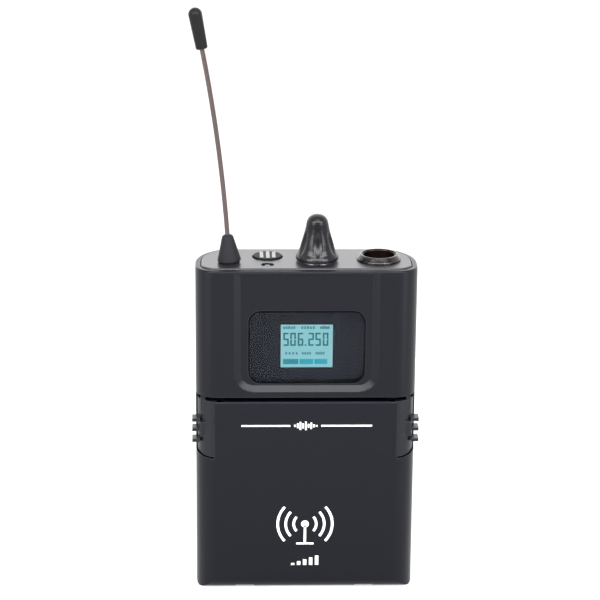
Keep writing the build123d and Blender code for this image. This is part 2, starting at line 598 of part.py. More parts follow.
# ---------------------------------------------------------------- push button
BUTTON_PROUD = 0.5
BUTTON_TRAVEL = 0.6
BUTTON_LOW = PLATE_LOW - 1.8
GROOVE_PITCH = 2.2
GROOVE_HALF_W = 0.35
GROOVE_DEPTH = 0.3
FLANGE_OUT = 0.8            # of the button, under the plate
SWITCH_HALF = 3.0
SWITCH_STEM_R = 1.6
SWITCH_STEM_H = 0.6
with BuildPart() as mute_button:
    rod_z([BUTTON], BUTTON_R, BUTTON_LOW, PLATE_TOP + BUTTON_PROUD)
    fillet(mute_button.edges().group_by(Axis.Z)[-1], 0.3)
    rod_z([BUTTON], BUTTON_R + FLANGE_OUT, BUTTON_LOW, PLATE_LOW - 0.6)
    for step in (-1, 0, 1):
        x = BUTTON[0] + step * GROOVE_PITCH
        top = PLATE_TOP + BUTTON_PROUD
        groove_y = (BUTTON[1] - BUTTON_R, BUTTON[1] + BUTTON_R)
        cut_box((x - GROOVE_HALF_W, x + GROOVE_HALF_W), groove_y, (top - GROOVE_DEPTH, top))
save(mute_button.part, "mute_button")

SWITCH_TOP = BUTTON_LOW - BUTTON_TRAVEL - 0.2
with BuildPart() as mute_switch:
    switch_x = (BUTTON[0] - SWITCH_HALF, BUTTON[0] + SWITCH_HALF)
    switch_y = (BUTTON[1] - SWITCH_HALF, BUTTON[1] + SWITCH_HALF)
    add_box(switch_x, switch_y, (SMALL_BOARD_TOP, SWITCH_TOP - SWITCH_STEM_H))
    rod_z([BUTTON], SWITCH_STEM_R, SWITCH_TOP - SWITCH_STEM_H, SWITCH_TOP)
save(mute_switch.part, "mute_switch")

with BuildPart() as status_led:
    with BuildSketch(Plane.XZ.offset(-LED[1])):
        with BuildLine():
            led_top = PLATE_TOP - 0.1
            collar_top = SMALL_BOARD_TOP + 1.0
            Polyline(
                (LED[0], SMALL_BOARD_TOP), (LED[0] + LED_HOLE_R, SMALL_BOARD_TOP),
                (LED[0] + LED_HOLE_R, collar_top), (LED[0] + LED_R, collar_top), (LED[0] + LED_R, led_top - LED_R),
            )
            RadiusArc((LED[0] + LED_R, led_top - LED_R), (LED[0], led_top), -LED_R)
            Line((LED[0], led_top), (LED[0], SMALL_BOARD_TOP))
        make_face()
    revolve(axis=Axis((LED[0], LED[1], 0), (0, 0, 1)))
save(status_led.part, "status_led")

with BuildPart() as switch_board:
    add_box((-17.5, -6.2), (-8.4, MAIN_BOARD_Y[0]), (SMALL_BOARD_TOP - 1.0, SMALL_BOARD_TOP))
save(switch_board.part, "switch_board")

# ---------------------------------------------------------------- level control
SKIRT_R = 6.3
KNOB_LOW = PLATE_TOP + 0.5
KNOB_TOP = PLATE_TOP + 14.1
KNOB_HOLLOW_R = 4.85        # room for the nut
FLUTES = 6
WASHER_R = BUSHING_R + 1.5
WASHER_T = 0.3
NUT_FLAT_R = BUSHING_R + 0.5
NUT_H = 1.5
BUSHING_TOP = PLATE_TOP + 2.1
SHAFT_TOP = KNOB_TOP - 6.6
SHAFT_LOW = PLATE_LOW - 4.5
SHAFT_FLAT = 0.5            # depth of the flat on the shaft
POT_HALF = (4.75, 5.5)
POT_LOW = PLATE_LOW - 6.5
with BuildPart() as potentiometer:
    pot_x = (KNOB[0] - POT_HALF[0], KNOB[0] + POT_HALF[0])
    add_box(pot_x, (KNOB[1] - POT_HALF[1], KNOB[1] + POT_HALF[1]), (POT_LOW, PLATE_LOW))
    rod_z([KNOB], BUSHING_R, PLATE_LOW, BUSHING_TOP)
    rod_z([KNOB], SHAFT_R + PIN_CLEAR, SHAFT_LOW - PART_CLEAR, BUSHING_TOP, Mode.SUBTRACT)
save(potentiometer.part, "potentiometer")

with BuildPart() as pot_shaft:
    rod_z([KNOB], SHAFT_R, SHAFT_LOW, SHAFT_TOP)
    flat_y = KNOB[1] + SHAFT_R - SHAFT_FLAT
    cut_box((KNOB[0] - SHAFT_R, KNOB[0] + SHAFT_R), (flat_y, FAR), (BUSHING_TOP + 0.6, SHAFT_TOP))
save(pot_shaft.part, "pot_shaft")

with BuildPart() as pot_washer:
    rod_z([KNOB], WASHER_R, PLATE_TOP, PLATE_TOP + WASHER_T)
    rod_z([KNOB], BUSHING_R, PLATE_TOP, PLATE_TOP + WASHER_T, Mode.SUBTRACT)
save(pot_washer.part, "pot_washer")

with BuildPart() as pot_nut:
    hex_nut(KNOB, NUT_FLAT_R, PLATE_TOP + WASHER_T, PLATE_TOP + WASHER_T + NUT_H)
    rod_z([KNOB], BUSHING_R, PLATE_TOP + WASHER_T, PLATE_TOP + WASHER_T + NUT_H, Mode.SUBTRACT)
save(pot_nut.part, "pot_nut")

FLUTE_R = 2.6
FLUTE_LEAN = 16.5
FLUTE_OUT = 6.35            # axis of a flute from the knob's axis, half way up
FLUTE_UP = 6.3
FLUTE_LENGTH = 7.8
KNOB_PROFILE = ((5.5, 2.4), (4.6, 5.2), (3.4, 9.8))    # out, up from the knob's lower face
with BuildPart() as level_knob:
    with BuildSketch(Plane.XZ.offset(-KNOB[1])):
        with BuildLine():
            kx = KNOB[0]
            skirt_top = (kx + SKIRT_R, KNOB_LOW + 0.9)
            Polyline((kx, KNOB_TOP), (kx, KNOB_LOW), (kx + SKIRT_R, KNOB_LOW), skirt_top)
            side_line = [(kx + out, KNOB_LOW + up) for out, up in KNOB_PROFILE]
            Spline(skirt_top, *side_line, (kx, KNOB_TOP), tangents=((-0.8, 1.0), (-1.0, 0.0)))
        make_face()
    revolve(axis=Axis((KNOB[0], KNOB[1], 0), (0, 0, 1)))
    rod_z([KNOB], KNOB_HOLLOW_R, KNOB_LOW, PLATE_TOP + WASHER_T + NUT_H + 0.15, Mode.SUBTRACT)
    rod_z([KNOB], BUSHING_R + 0.2, KNOB_LOW, BUSHING_TOP + 0.2, Mode.SUBTRACT)
    add(pot_shaft.part, mode=Mode.SUBTRACT)
    with Locations((KNOB[0], KNOB[1], KNOB_LOW + FLUTE_UP)):
        with PolarLocations(FLUTE_OUT, FLUTES, start_angle=-90):
            Cylinder(FLUTE_R, FLUTE_LENGTH, rotation=(0, -FLUTE_LEAN, 0), mode=Mode.SUBTRACT)
save(level_knob.part, "level_knob")

# ---------------------------------------------------------------- microphone socket
SOCKET_TOP = PLATE_TOP + 1.8
MOUTH_R = 4.65
MOUTH_DEPTH = 3.9
TUBE_R = 4.1
TUBE_LOW = SOCKET_TOP - 13.2
NUT_LIP = 0.3               # nut above the tube
SOCKET_NUT_R = 6.5
PIN_RING_R = 2.0
PIN_TOP = SOCKET_TOP - MOUTH_DEPTH - 3.3
PIN_TAIL = 1.5              # pins below the tube
PIN_CONTACT_R = 0.5
with BuildPart() as socket_shell:
    rod_z([SOCKET], SHELL_R, TUBE_LOW, SOCKET_TOP - NUT_LIP)
    rod_z([SOCKET], SHELL_R + 1.0, PLATE_LOW - 1.4, PLATE_LOW)
    rod_z([SOCKET], TUBE_R, TUBE_LOW, SOCKET_TOP, Mode.SUBTRACT)
    rod_z([SOCKET], MOUTH_R, SOCKET_TOP - NUT_LIP - MOUTH_DEPTH, SOCKET_TOP, Mode.SUBTRACT)
save(socket_shell.part, "socket_shell")

with BuildPart() as socket_nut:
    with BuildSketch(Plane.XZ.offset(-SOCKET[1])):
        with BuildLine():
            sx = SOCKET[0]
            Polyline(
                (sx + SHELL_R, PLATE_TOP), (sx + SOCKET_NUT_R, PLATE_TOP), (sx + SOCKET_NUT_R, PLATE_TOP + 0.5),
                (sx + SOCKET_NUT_R - 1.0, SOCKET_TOP - 0.1), (sx + SOCKET_NUT_R - 1.15, SOCKET_TOP),
                (sx + SHELL_R, SOCKET_TOP), close=True,
            )
        make_face()
    revolve(axis=Axis((SOCKET[0], SOCKET[1], 0), (0, 0, 1)))
save(socket_nut.part, "socket_nut")

with BuildPart() as socket_insulator:
    rod_z([SOCKET], TUBE_R, TUBE_LOW + 0.5, TUBE_LOW + 4.0)
    with BuildSketch(Plane.XY.offset(TUBE_LOW)):
        with Locations(SOCKET):
            with PolarLocations(PIN_RING_R, 3, start_angle=-90):
                Circle(PIN_CONTACT_R)
    extrude(amount=5.0, mode=Mode.SUBTRACT)
save(socket_insulator.part, "socket_insulator")

with BuildPart() as socket_pins:
    with BuildSketch(Plane.XY.offset(TUBE_LOW - PIN_TAIL)):
        with Locations(SOCKET):
            with PolarLocations(PIN_RING_R, 3, start_angle=-90):
                Circle(PIN_CONTACT_R)
    extrude(amount=PIN_TOP - TUBE_LOW + PIN_TAIL)
save(socket_pins.part, "socket_pins")

# ---------------------------------------------------------------- battery tray and cells
TRAY_GAP = 0.25
TRAY_FRONT = PART_Y + 0.25
TRAY_LOW = WALL + 0.2
TRAY_TOP = DOOR_TOP + 1.1
RIGHT_CELL_X = -4.4
CELL_X = (RIGHT_CELL_X - 2 * CELL_R - 1.6, RIGHT_CELL_X)
CELL_LOW = HINGE_Z + EYE_R + PART_CLEAR
BAY = (CELL_X[0] - CELL_R - 0.9, CELL_X[1] + CELL_R + 0.9)
KEY_BAY = (BAY[1] + 1.8, HALF_W - 4.1)
KEY_X = 17.0
KEY_Z = (46.0, 35.0, 24.0)
KEY_R = 2.6
KEY_FACE_T = 1.6
SPRING_ROOM = 1.6           # under the cells
TOP_ROOM = 1.7              # over the cells
BAY_LOW = CELL_LOW - SPRING_ROOM
BAY_TOP = CELL_LOW + CELL_LENGTH + TOP_ROOM
with BuildPart() as battery_tray:
    with BuildSketch(Plane.XY.offset(TRAY_LOW)):
        case_outline(WALL + TRAY_GAP)
    extrude(amount=TRAY_TOP - TRAY_LOW)
    cut_box((-FAR, FAR), (-FAR, TRAY_FRONT), (0, FAR))
    rod_x([(HINGE_Y, HINGE_Z)], SEAT_R + PART_CLEAR, -FAR, FAR, Mode.SUBTRACT)
    cut_box(BAY, (-FAR, CELL_Y + CELL_R + 0.4), (BAY_LOW, BAY_TOP))
    cut_box(KEY_BAY, (TRAY_FRONT + KEY_FACE_T, FAR), (BAY_LOW, BAY_TOP))
    rod_y([(KEY_X, z) for z in KEY_Z], KEY_R + PART_CLEAR, -FAR, FAR, Mode.SUBTRACT)
    for side in (-1, 1):
        lug = (side * (LUG_X[0] - PART_CLEAR), side * (LUG_X[1] + PART_CLEAR))
        cut_box((min(lug), max(lug)), (-FAR, LUG_BACK + PART_CLEAR), (0, HINGE_Z + EYE_R + PART_CLEAR))
save(battery_tray.part, "battery_tray")

NUB_R = 2.7
NUB_H = 1.2
for index, (x, name) in enumerate(zip(CELL_X, ("left", "right"))):
    with BuildPart() as cell:
        nub_up = index == 0
        body_low = CELL_LOW if nub_up else CELL_LOW + NUB_H
        rod_z([(x, CELL_Y)], CELL_R, body_low, body_low + CELL_LENGTH - NUB_H)
        chamfer(cell.edges().filter_by(GeomType.CIRCLE), 0.4)
        nub_low = body_low + CELL_LENGTH - NUB_H if nub_up else CELL_LOW
        rod_z([(x, CELL_Y)], NUB_R, nub_low, nub_low + NUB_H)
    save(cell.part, f"cell_{name}")

CONTACT_T = 0.4
CONTACT_HALF = 5.0
CONTACT_FRONT = 4.4         # lower contact in front of the cells' axes
CONTACT_NUB_R = 2.4
CONTACT_RINGS = (4.0, 3.0, 2.0)
with BuildPart() as top_contacts:
    contact_y = (CELL_Y - CONTACT_HALF, CELL_Y + CONTACT_HALF)
    for x in CELL_X:
        add_box((x - CONTACT_HALF, x + CONTACT_HALF), contact_y, (BAY_TOP - CONTACT_T, BAY_TOP))
        rod_z([(x, CELL_Y)], CONTACT_NUB_R, CELL_LOW + CELL_LENGTH, BAY_TOP - CONTACT_T)
save(top_contacts.part, "top_contacts")

with BuildPart() as bottom_contacts:
    strip_x = (CELL_X[0] - CONTACT_HALF, CELL_X[1] + CONTACT_HALF)
    add_box(strip_x, (CELL_Y - CONTACT_FRONT, CELL_Y + CONTACT_HALF), (BAY_LOW, BAY_LOW + CONTACT_T))
    for step, ring_r in enumerate(CONTACT_RINGS):
        ring_low = BAY_LOW + CONTACT_T * (step + 1)
        rod_z([(CELL_X[0], CELL_Y)], ring_r, ring_low, ring_low + CONTACT_T)
    rod_z([(CELL_X[1], CELL_Y)], CONTACT_NUB_R, BAY_LOW + CONTACT_T, CELL_LOW)
save(bottom_contacts.part, "bottom_contacts")

# ---------------------------------------------------------------- menu keys
KEY_BOARD_Y = TRAY_FRONT + KEY_FACE_T + 4.2
KEY_BOARD_HALF = (6.0, 16.5)
KEY_SWITCH_HALF = 3.0
KEY_SWITCH_T = 1.6
KEY_STEM_H = 0.4
KEY_FLANGE = 0.9
with BuildPart() as key_board:
    plate_y((KEY_X, KEY_Z[1]), KEY_BOARD_HALF, KEY_BOARD_Y, KEY_BOARD_Y + 1.0, 0.5)
save(key_board.part, "key_board")

with BuildPart() as key_switches:
    for z in KEY_Z:
        switch_front = KEY_BOARD_Y - KEY_SWITCH_T
        key_x = (KEY_X - KEY_SWITCH_HALF, KEY_X + KEY_SWITCH_HALF)
        add_box(key_x, (switch_front, KEY_BOARD_Y), (z - KEY_SWITCH_HALF, z + KEY_SWITCH_HALF))
        rod_y([(KEY_X, z)], KEY_SWITCH_HALF / 2, switch_front - KEY_STEM_H, switch_front)
save(key_switches.part, "key_switches")

key_low = TRAY_FRONT - 0.5
for z, name in zip(KEY_Z, ("set", "up", "down")):
    with BuildPart() as key:
        rod_y([(KEY_X, z)], KEY_R, key_low, TRAY_FRONT + KEY_FACE_T + 1.5)
        fillet(key.edges().group_by(Axis.Y)[0], 0.4)
        flange_y = TRAY_FRONT + KEY_FACE_T + 0.1
        rod_y([(KEY_X, z)], KEY_R + KEY_FLANGE, flange_y, flange_y + 1.0)
    save(key.part, f"key_{name}")

# ---------------------------------------------------------------- belt clip
BEND_R = CLIP_GAP / 2
BEND_Y = BACK_Y + CLIP_T + BEND_R
ARM_Y = BEND_Y + BEND_R
BEND_GAP = 12.0             # degrees between the two halves of the bend
TIP_H = 6.0
TIP_OUT = 2.4
with BuildPart() as clip_foot:
    with BuildSketch(Plane.YZ.offset(-CLIP_HALF_W)):
        with BuildLine():
            Polyline(
                (BACK_Y, CLIP_BEND_Z), (BACK_Y, CLIP_FOOT_LOW),
                (BACK_Y + CLIP_T, CLIP_FOOT_LOW), (BACK_Y + CLIP_T, CLIP_BEND_Z),
            )
            CenterArc((BEND_Y, CLIP_BEND_Z), BEND_R, 180, -90)
            Line((BEND_Y, CLIP_BEND_Z + BEND_R), (BEND_Y, CLIP_BEND_Z + BEND_R + CLIP_T))
            CenterArc((BEND_Y, CLIP_BEND_Z), BEND_R + CLIP_T, 90, 90)
        make_face()
    extrude(amount=2 * CLIP_HALF_W)
    fillet(clip_foot.edges().filter_by(Axis.Y).group_by(Axis.Z)[0], 2.0)
    rod_y(clip_places, CLIP_SCREW_R + FIT_CLEAR, BACK_Y, BACK_Y + CLIP_T, Mode.SUBTRACT)
save(clip_foot.part, "clip_foot")

with BuildPart() as clip_arm:
    with BuildSketch(Plane.YZ.offset(-CLIP_HALF_W)):
        with BuildLine():
            inner_arc = CenterArc((BEND_Y, CLIP_BEND_Z), BEND_R, 0, 90 - BEND_GAP)
            outer_arc = CenterArc((BEND_Y, CLIP_BEND_Z), BEND_R + CLIP_T, 0, 90 - BEND_GAP)
            Line(inner_arc @ 1, outer_arc @ 1)
            tip_start = CLIP_ARM_LOW + TIP_H
            Polyline(
                (ARM_Y, CLIP_BEND_Z), (ARM_Y, tip_start), (ARM_Y + TIP_OUT - CLIP_T, CLIP_ARM_LOW),
                (ARM_Y + TIP_OUT, CLIP_ARM_LOW), (ARM_Y + CLIP_T, tip_start), (ARM_Y + CLIP_T, CLIP_BEND_Z),
            )
        make_face()
    extrude(amount=2 * CLIP_HALF_W)
    fillet(clip_arm.edges().group_by(Axis.Z)[0].filter_by(Axis.Y), 0.4)
save(clip_arm.part, "clip_arm")

# ---------------------------------------------------------------- screws
HEAD_CLEAR = 0.1            # round the heads in their counterbores
with BuildPart() as clip_screws:
    rod_y(clip_places, CLIP_SCREW_R, CLIP_SCREW_END, BACK_Y + CLIP_T)
    rod_y(clip_places, 2 * CLIP_SCREW_R, BACK_Y + CLIP_T, BACK_Y + CLIP_T + HEAD_H)
save(clip_screws.part, "clip_screws")

with BuildPart() as case_screws:
    rod_y(case_bosses, CASE_SCREW_R, IN_FRONT + 0.5, BACK_Y - HEAD_H - HEAD_SINK)
    rod_y(case_bosses, 2 * CASE_SCREW_R - HEAD_CLEAR, BACK_Y - HEAD_H - HEAD_SINK, BACK_Y - HEAD_SINK)
save(case_screws.part, "case_screws")
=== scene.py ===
import json
import math

import bpy
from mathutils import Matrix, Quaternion, Vector


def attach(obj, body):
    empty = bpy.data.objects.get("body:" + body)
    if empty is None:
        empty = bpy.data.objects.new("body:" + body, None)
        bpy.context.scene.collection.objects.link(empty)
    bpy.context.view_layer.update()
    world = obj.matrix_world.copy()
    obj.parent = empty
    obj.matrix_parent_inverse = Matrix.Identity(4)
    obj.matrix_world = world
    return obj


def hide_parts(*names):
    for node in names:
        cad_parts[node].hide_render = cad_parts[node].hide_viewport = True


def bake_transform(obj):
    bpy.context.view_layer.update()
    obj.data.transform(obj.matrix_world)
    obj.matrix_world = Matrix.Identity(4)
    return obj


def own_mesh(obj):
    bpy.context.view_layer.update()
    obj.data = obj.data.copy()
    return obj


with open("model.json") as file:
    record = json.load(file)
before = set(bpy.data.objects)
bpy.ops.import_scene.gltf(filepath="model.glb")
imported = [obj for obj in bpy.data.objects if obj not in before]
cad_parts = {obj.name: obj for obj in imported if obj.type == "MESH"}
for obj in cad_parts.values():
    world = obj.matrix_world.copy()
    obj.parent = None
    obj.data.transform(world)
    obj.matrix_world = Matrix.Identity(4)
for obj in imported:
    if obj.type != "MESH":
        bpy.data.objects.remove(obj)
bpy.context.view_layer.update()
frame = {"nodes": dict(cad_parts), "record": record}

nodes = frame["nodes"]
MM = 0.001

# ------------------------------------------------------------------ studio
# A white paper sweep lit by softboxes overhead, in front and at both front
# corners. The room is bright behind the pack and dark towards the camera, so
# black plastic stays black.
bpy.ops.object.select_all(action="DESELECT")
bpy.ops.mesh.primitive_plane_add(size=8, location=(0, 0, 0))
paper = bpy.context.object
paper.name = "paper_floor"

paper_white = bpy.data.materials.new("paper white")
paper_white.use_nodes = True
paper_shader = paper_white.node_tree.nodes["Principled BSDF"]
paper_shader.inputs["Base Color"].default_value = (0.42, 0.42, 0.42, 1)
paper_shader.inputs["Roughness"].default_value = 0.9
paper_shader.inputs["Specular IOR Level"].default_value = 0.1
paper_shader.inputs["Emission Color"].default_value = (1, 1, 1, 1)
paper_shader.inputs["Emission Strength"].default_value = 0.44
paper.data.materials.append(paper_white)

room = bpy.data.worlds.new("studio room")
bpy.context.scene.world = room
room.use_nodes = True
sky = room.node_tree
direction = sky.nodes.new("ShaderNodeTexCoord")
split = sky.nodes.new("ShaderNodeSeparateXYZ")
towards_back = sky.nodes.new("ShaderNodeMapRange")
towards_back.inputs["From Min"].default_value = -0.3
towards_back.inputs["From Max"].default_value = 0.8
towards_back.inputs["To Min"].default_value = 0.05
towards_back.inputs["To Max"].default_value = 2.6
sky.links.new(direction.outputs["Generated"], split.inputs["Vector"])
sky.links.new(split.outputs["Y"], towards_back.inputs["Value"])
sky.links.new(towards_back.outputs["Result"], sky.nodes["Background"].inputs["Strength"])
sky.nodes["Background"].inputs["Color"].default_value = (1.0, 1.0, 1.0, 1)


def softbox(name, place, aim, width, height, watts):
    """A rectangular area light at place, facing aim."""
    lamp = bpy.data.lights.new(name, "AREA")
    lamp.shape = "RECTANGLE"
    lamp.size = width
    lamp.size_y = height
    lamp.energy = watts
    holder = bpy.data.objects.new(name, lamp)
    bpy.context.collection.objects.link(holder)
    holder.location = place
    holder.rotation_euler = (Vector(aim) - Vector(place)).to_track_quat("-Z", "Y").to_euler()


pack_middle = (0, 0, 0.08)
softbox("overhead_softbox", (0, -0.3, 1.05), pack_middle, 1.2, 0.22, 3.8)
softbox("front_softbox", (0, -0.92, 0.82), pack_middle, 1.5, 0.36, 27.0)
softbox("left_corner_softbox", (-0.85, -0.85, 0.60), pack_middle, 0.6, 0.36, 11.0)
softbox("right_corner_softbox", (0.85, -0.85, 0.60), pack_middle, 0.6, 0.36, 11.0)
softbox("left_card", (-0.20, -0.15, 0.05), pack_middle, 0.08, 0.12, 0.035)
softbox("right_card", (0.20, -0.15, 0.05), pack_middle, 0.08, 0.12, 0.055)
softbox("left_fill", (-0.9, -0.1, 0.45), pack_middle, 0.5, 0.7, 1.4)
softbox("right_fill", (0.9, -0.1, 0.45), pack_middle, 0.5, 0.7, 0.9)

view_aim = Vector((-1.66, 0.0, 87.69)) * MM
view_turn, view_pitch, view_roll = (math.radians(a) for a in (-1.81, 17.24, 0.47))
view_distance = 0.670
view_back = Vector((
    math.sin(view_turn) * math.cos(view_pitch),
    -math.cos(view_turn) * math.cos(view_pitch),
    math.sin(view_pitch),
))
lens = bpy.data.cameras.new("studio_camera")
lens.lens = 135.9
lens.sensor_width = 36.0
lens.clip_start = 0.01
camera = bpy.data.objects.new("studio_camera", lens)
bpy.context.collection.objects.link(camera)
camera.location = view_aim + view_back * view_distance
camera.rotation_mode = "QUATERNION"
camera.rotation_quaternion = (-view_back).to_track_quat("-Z", "Y") @ Quaternion((0, 0, 1), view_roll)
bpy.context.scene.camera = camera
bpy.context.scene.view_settings.view_transform = "Standard"


# ------------------------------------------------------------------ case shells
# Two moulded shells, front and rear, in satin black plastic with a fine spark
# texture. They meet at the widest line of the side and are screwed from behind.
def socket(group, name, kind, way, value=None):
    """A named input or output on a shader group."""
    made = group.interface.new_socket(name=name, in_out=way, socket_type=kind)
    if value is not None:
        made.default_value = value


def texture_group():
    """Fine moulded or painted grain: uneven gloss and a shallow relief."""
    group = bpy.data.node_groups.new("fine grain", "ShaderNodeTree")
    socket(group, "Grain Scale", "NodeSocketFloat", "INPUT", 4000.0)
    socket(group, "Relief", "NodeSocketFloat", "INPUT", 0.1)
    socket(group, "Gloss", "NodeSocketFloat", "INPUT", 0.4)
    socket(group, "Unevenness", "NodeSocketFloat", "INPUT", 0.08)
    socket(group, "Roughness", "NodeSocketFloat", "OUTPUT")
    socket(group, "Normal", "NodeSocketVector", "OUTPUT")
    n, link = group.nodes, group.links.new
    given, result = n.new("NodeGroupInput"), n.new("NodeGroupOutput")
    place = n.new("ShaderNodeTexCoord")
    grain = n.new("ShaderNodeTexNoise")
    grain.inputs["Detail"].default_value = 3.0
    cloud = n.new("ShaderNodeTexNoise")
    cloud.inputs["Scale"].default_value = 90.0
    cloud.inputs["Detail"].default_value = 4.0
    both = n.new("ShaderNodeMath")
    both.operation = "ADD"
    centred = n.new("ShaderNodeMath")
    centred.operation = "SUBTRACT"
    centred.inputs[1].default_value = 1.0
    gloss = n.new("ShaderNodeMath")
    gloss.operation = "MULTIPLY_ADD"
    gloss.use_clamp = True
    bump = n.new("ShaderNodeBump")
    bump.inputs["Distance"].default_value = 0.00002
    link(place.outputs["Object"], grain.inputs["Vector"])
    link(place.outputs["Object"], cloud.inputs["Vector"])
    link(given.outputs["Grain Scale"], grain.inputs["Scale"])
    link(grain.outputs["Fac"], both.inputs[0])
    link(cloud.outputs["Fac"], both.inputs[1])
    link(both.outputs[0], centred.inputs[0])
    link(centred.outputs[0], gloss.inputs[0])
    link(given.outputs["Unevenness"], gloss.inputs[1])
    link(given.outputs["Gloss"], gloss.inputs[2])
    link(grain.outputs["Fac"], bump.inputs["Height"])
    link(given.outputs["Relief"], bump.inputs["Strength"])
    link(gloss.outputs[0], result.inputs["Roughness"])
    link(bump.outputs["Normal"], result.inputs["Normal"])
    return group


def edge_highlight_group():
    """How near a point is to a sharp edge, broken up in patches: the mask for a painted highlight along
    edges.
    """
    group = bpy.data.node_groups.new("painted edge highlight", "ShaderNodeTree")
    socket(group, "Reach", "NodeSocketFloat", "INPUT", 0.0004)
    socket(group, "Mask", "NodeSocketFloat", "OUTPUT")
    n, link = group.nodes, group.links.new
    given, result = n.new("NodeGroupInput"), n.new("NodeGroupOutput")
    soft = n.new("ShaderNodeBevel")
    soft.samples = 4
    true = n.new("ShaderNodeNewGeometry")
    dot = n.new("ShaderNodeVectorMath")
    dot.operation = "DOT_PRODUCT"
    away = n.new("ShaderNodeMapRange")
    away.inputs["From Min"].default_value = 1.0
    away.inputs["From Max"].default_value = 0.93
    place = n.new("ShaderNodeTexCoord")
    patch = n.new("ShaderNodeTexNoise")
    patch.inputs["Scale"].default_value = 420.0
    mask = n.new("ShaderNodeMath")
    mask.operation = "MULTIPLY"
    link(given.outputs["Reach"], soft.inputs["Radius"])
    link(soft.outputs["Normal"], dot.inputs[0])
    link(true.outputs["Normal"], dot.inputs[1])
    link(dot.outputs["Value"], away.inputs["Value"])
    link(place.outputs["Object"], patch.inputs["Vector"])
    link(away.outputs["Result"], mask.inputs[0])
    link(patch.outputs["Fac"], mask.inputs[1])
    link(mask.outputs[0], result.inputs["Mask"])
    return group


fine_grain = texture_group()
edge_highlight_mask = edge_highlight_group()


def finish_of(
    name, colour, gloss, grain=4000.0, relief=0.1, uneven=0.08, edge_highlight=None, print_of=None, **sockets
):
    """A material with fine grain, sharp edges lightened towards an edge colour as a painted highlight, and
    a printed (mask, colour).
    """
    material = bpy.data.materials.new(name)
    material.use_nodes = True
    tree = material.node_tree
    shader = tree.nodes["Principled BSDF"]
    shader.inputs["Base Color"].default_value = (*colour, 1)
    for key, value in sockets.items():
        shader.inputs[key.replace("_", " ")].default_value = value
    texture = tree.nodes.new("ShaderNodeGroup")
    texture.node_tree = fine_grain
    texture.inputs["Grain Scale"].default_value = grain
    texture.inputs["Relief"].default_value = relief
    texture.inputs["Gloss"].default_value = gloss
    texture.inputs["Unevenness"].default_value = uneven
    tree.links.new(texture.outputs["Roughness"], shader.inputs["Roughness"])
    tree.links.new(texture.outputs["Normal"], shader.inputs["Normal"])
    # The edge mask paints a highlight along sharp edges in the edge colour.
    layers = [(edge_highlight_mask, edge_highlight)] if edge_highlight else []
    if print_of:
        layers.append(print_of)
    for mask_tree, second in layers:
        mask = tree.nodes.new("ShaderNodeGroup")
        mask.node_tree = mask_tree
        tint = tree.nodes.new("ShaderNodeMix")
        tint.data_type = "RGBA"
        tint.inputs["A"].default_value = (*colour, 1)
        tint.inputs["B"].default_value = (*second, 1)
        tree.links.new(mask.outputs["Mask"], tint.inputs["Factor"])
        if shader.inputs["Base Color"].is_linked:
            tree.links.new(shader.inputs["Base Color"].links[0].from_socket, tint.inputs["A"])
        tree.links.new(tint.outputs["Result"], shader.inputs["Base Color"])
    return material


def select_only(piece):
    """Select one object and make it the active one."""
    bpy.ops.object.select_all(action="DESELECT")
    piece.select_set(True)
    bpy.context.view_layer.objects.active = piece


def soften(piece, width, segments=2, sharp=20.0):
    """Round a piece's sharp edges and smooth its curved faces."""
    select_only(piece)
    bpy.ops.object.modifier_add(type="BEVEL")
    rounding = piece.modifiers[-1]
    rounding.width = width
    rounding.segments = segments
    rounding.limit_method = "ANGLE"
    rounding.angle_limit = math.radians(sharp)
    bpy.ops.object.modifier_apply(modifier=rounding.name)
    bpy.ops.object.shade_smooth_by_angle(angle=math.radians(sharp))
    bpy.ops.object.modifier_add(type="WEIGHTED_NORMAL")
    piece.modifiers[-1].keep_sharp = True
    bpy.ops.object.modifier_apply(modifier=piece.modifiers[-1].name)


def settle(piece, body, slot, material, *stands_for):
    """Give a finished piece its material, its body and the nodes it stands for."""
    if piece.data.materials:
        piece.data.materials.clear()
    piece.data.materials.append(material)
    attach(piece, body)
    if stands_for:
        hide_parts(*stands_for)


def body_of_node(node):
    """The body that a CAD node rides on."""
    return next(b for b, members in frame["record"]["behaviour"]["bodies"].items() if node in members)


def refined(node, material, width=0.12 * MM, segments=2):
    """A copy of a CAD node, merged and cleaned, with its edges rounded."""
    piece = bpy.data.objects.new(f"{node}_moulding", nodes[node].data.copy())
    bpy.context.collection.objects.link(piece)
    select_only(piece)
    bpy.ops.mesh.customdata_custom_splitnormals_clear()
    bpy.ops.object.mode_set(mode="EDIT")
    bpy.ops.mesh.select_all(action="SELECT")
    bpy.ops.mesh.remove_doubles(threshold=0.000001)
    bpy.ops.mesh.dissolve_limited(angle_limit=math.radians(0.6))
    bpy.ops.object.mode_set(mode="OBJECT")
    soften(piece, width, segments)
    slot_name = next(s["material_slot"] for s in frame["record"]["subparts"] if s["node"] == node)
    settle(piece, body_of_node(node), slot_name, material, node)
    return piece


def paint(material, *names):
    """Give CAD nodes that keep their own mesh a material."""
    for name in names:
        mesh = nodes[name].data
        mesh.materials.clear()
        mesh.materials.append(material)


# The edge colour here is a painted highlight along the shells' sharp edges.
case_plastic = finish_of(
    "case plastic", (0.0009, 0.0013, 0.0038), 0.33, grain=5200.0, relief=0.12, uneven=0.06,
    edge_highlight=(0.026, 0.029, 0.038), Specular_IOR_Level=0.21,
)
refined("front_shell", case_plastic)
refined("rear_shell", case_plastic)

# ------------------------------------------------------------------ top plate
# A die-cast plate in fine satin paint, dropped into the rim of the two shells
# and clamped there by the nuts of the knob and the socket.
# The edge colour here is a painted highlight along the plate's sharp edges.
plate_paint = finish_of(
    "plate paint", (0.011, 0.0115, 0.0145), 0.34, grain=6500.0, relief=0.06, uneven=0.05,
    edge_highlight=(0.06, 0.06, 0.065), Specular_IOR_Level=0.55,
)
refined("top_plate", plate_paint, width=0.1 * MM)

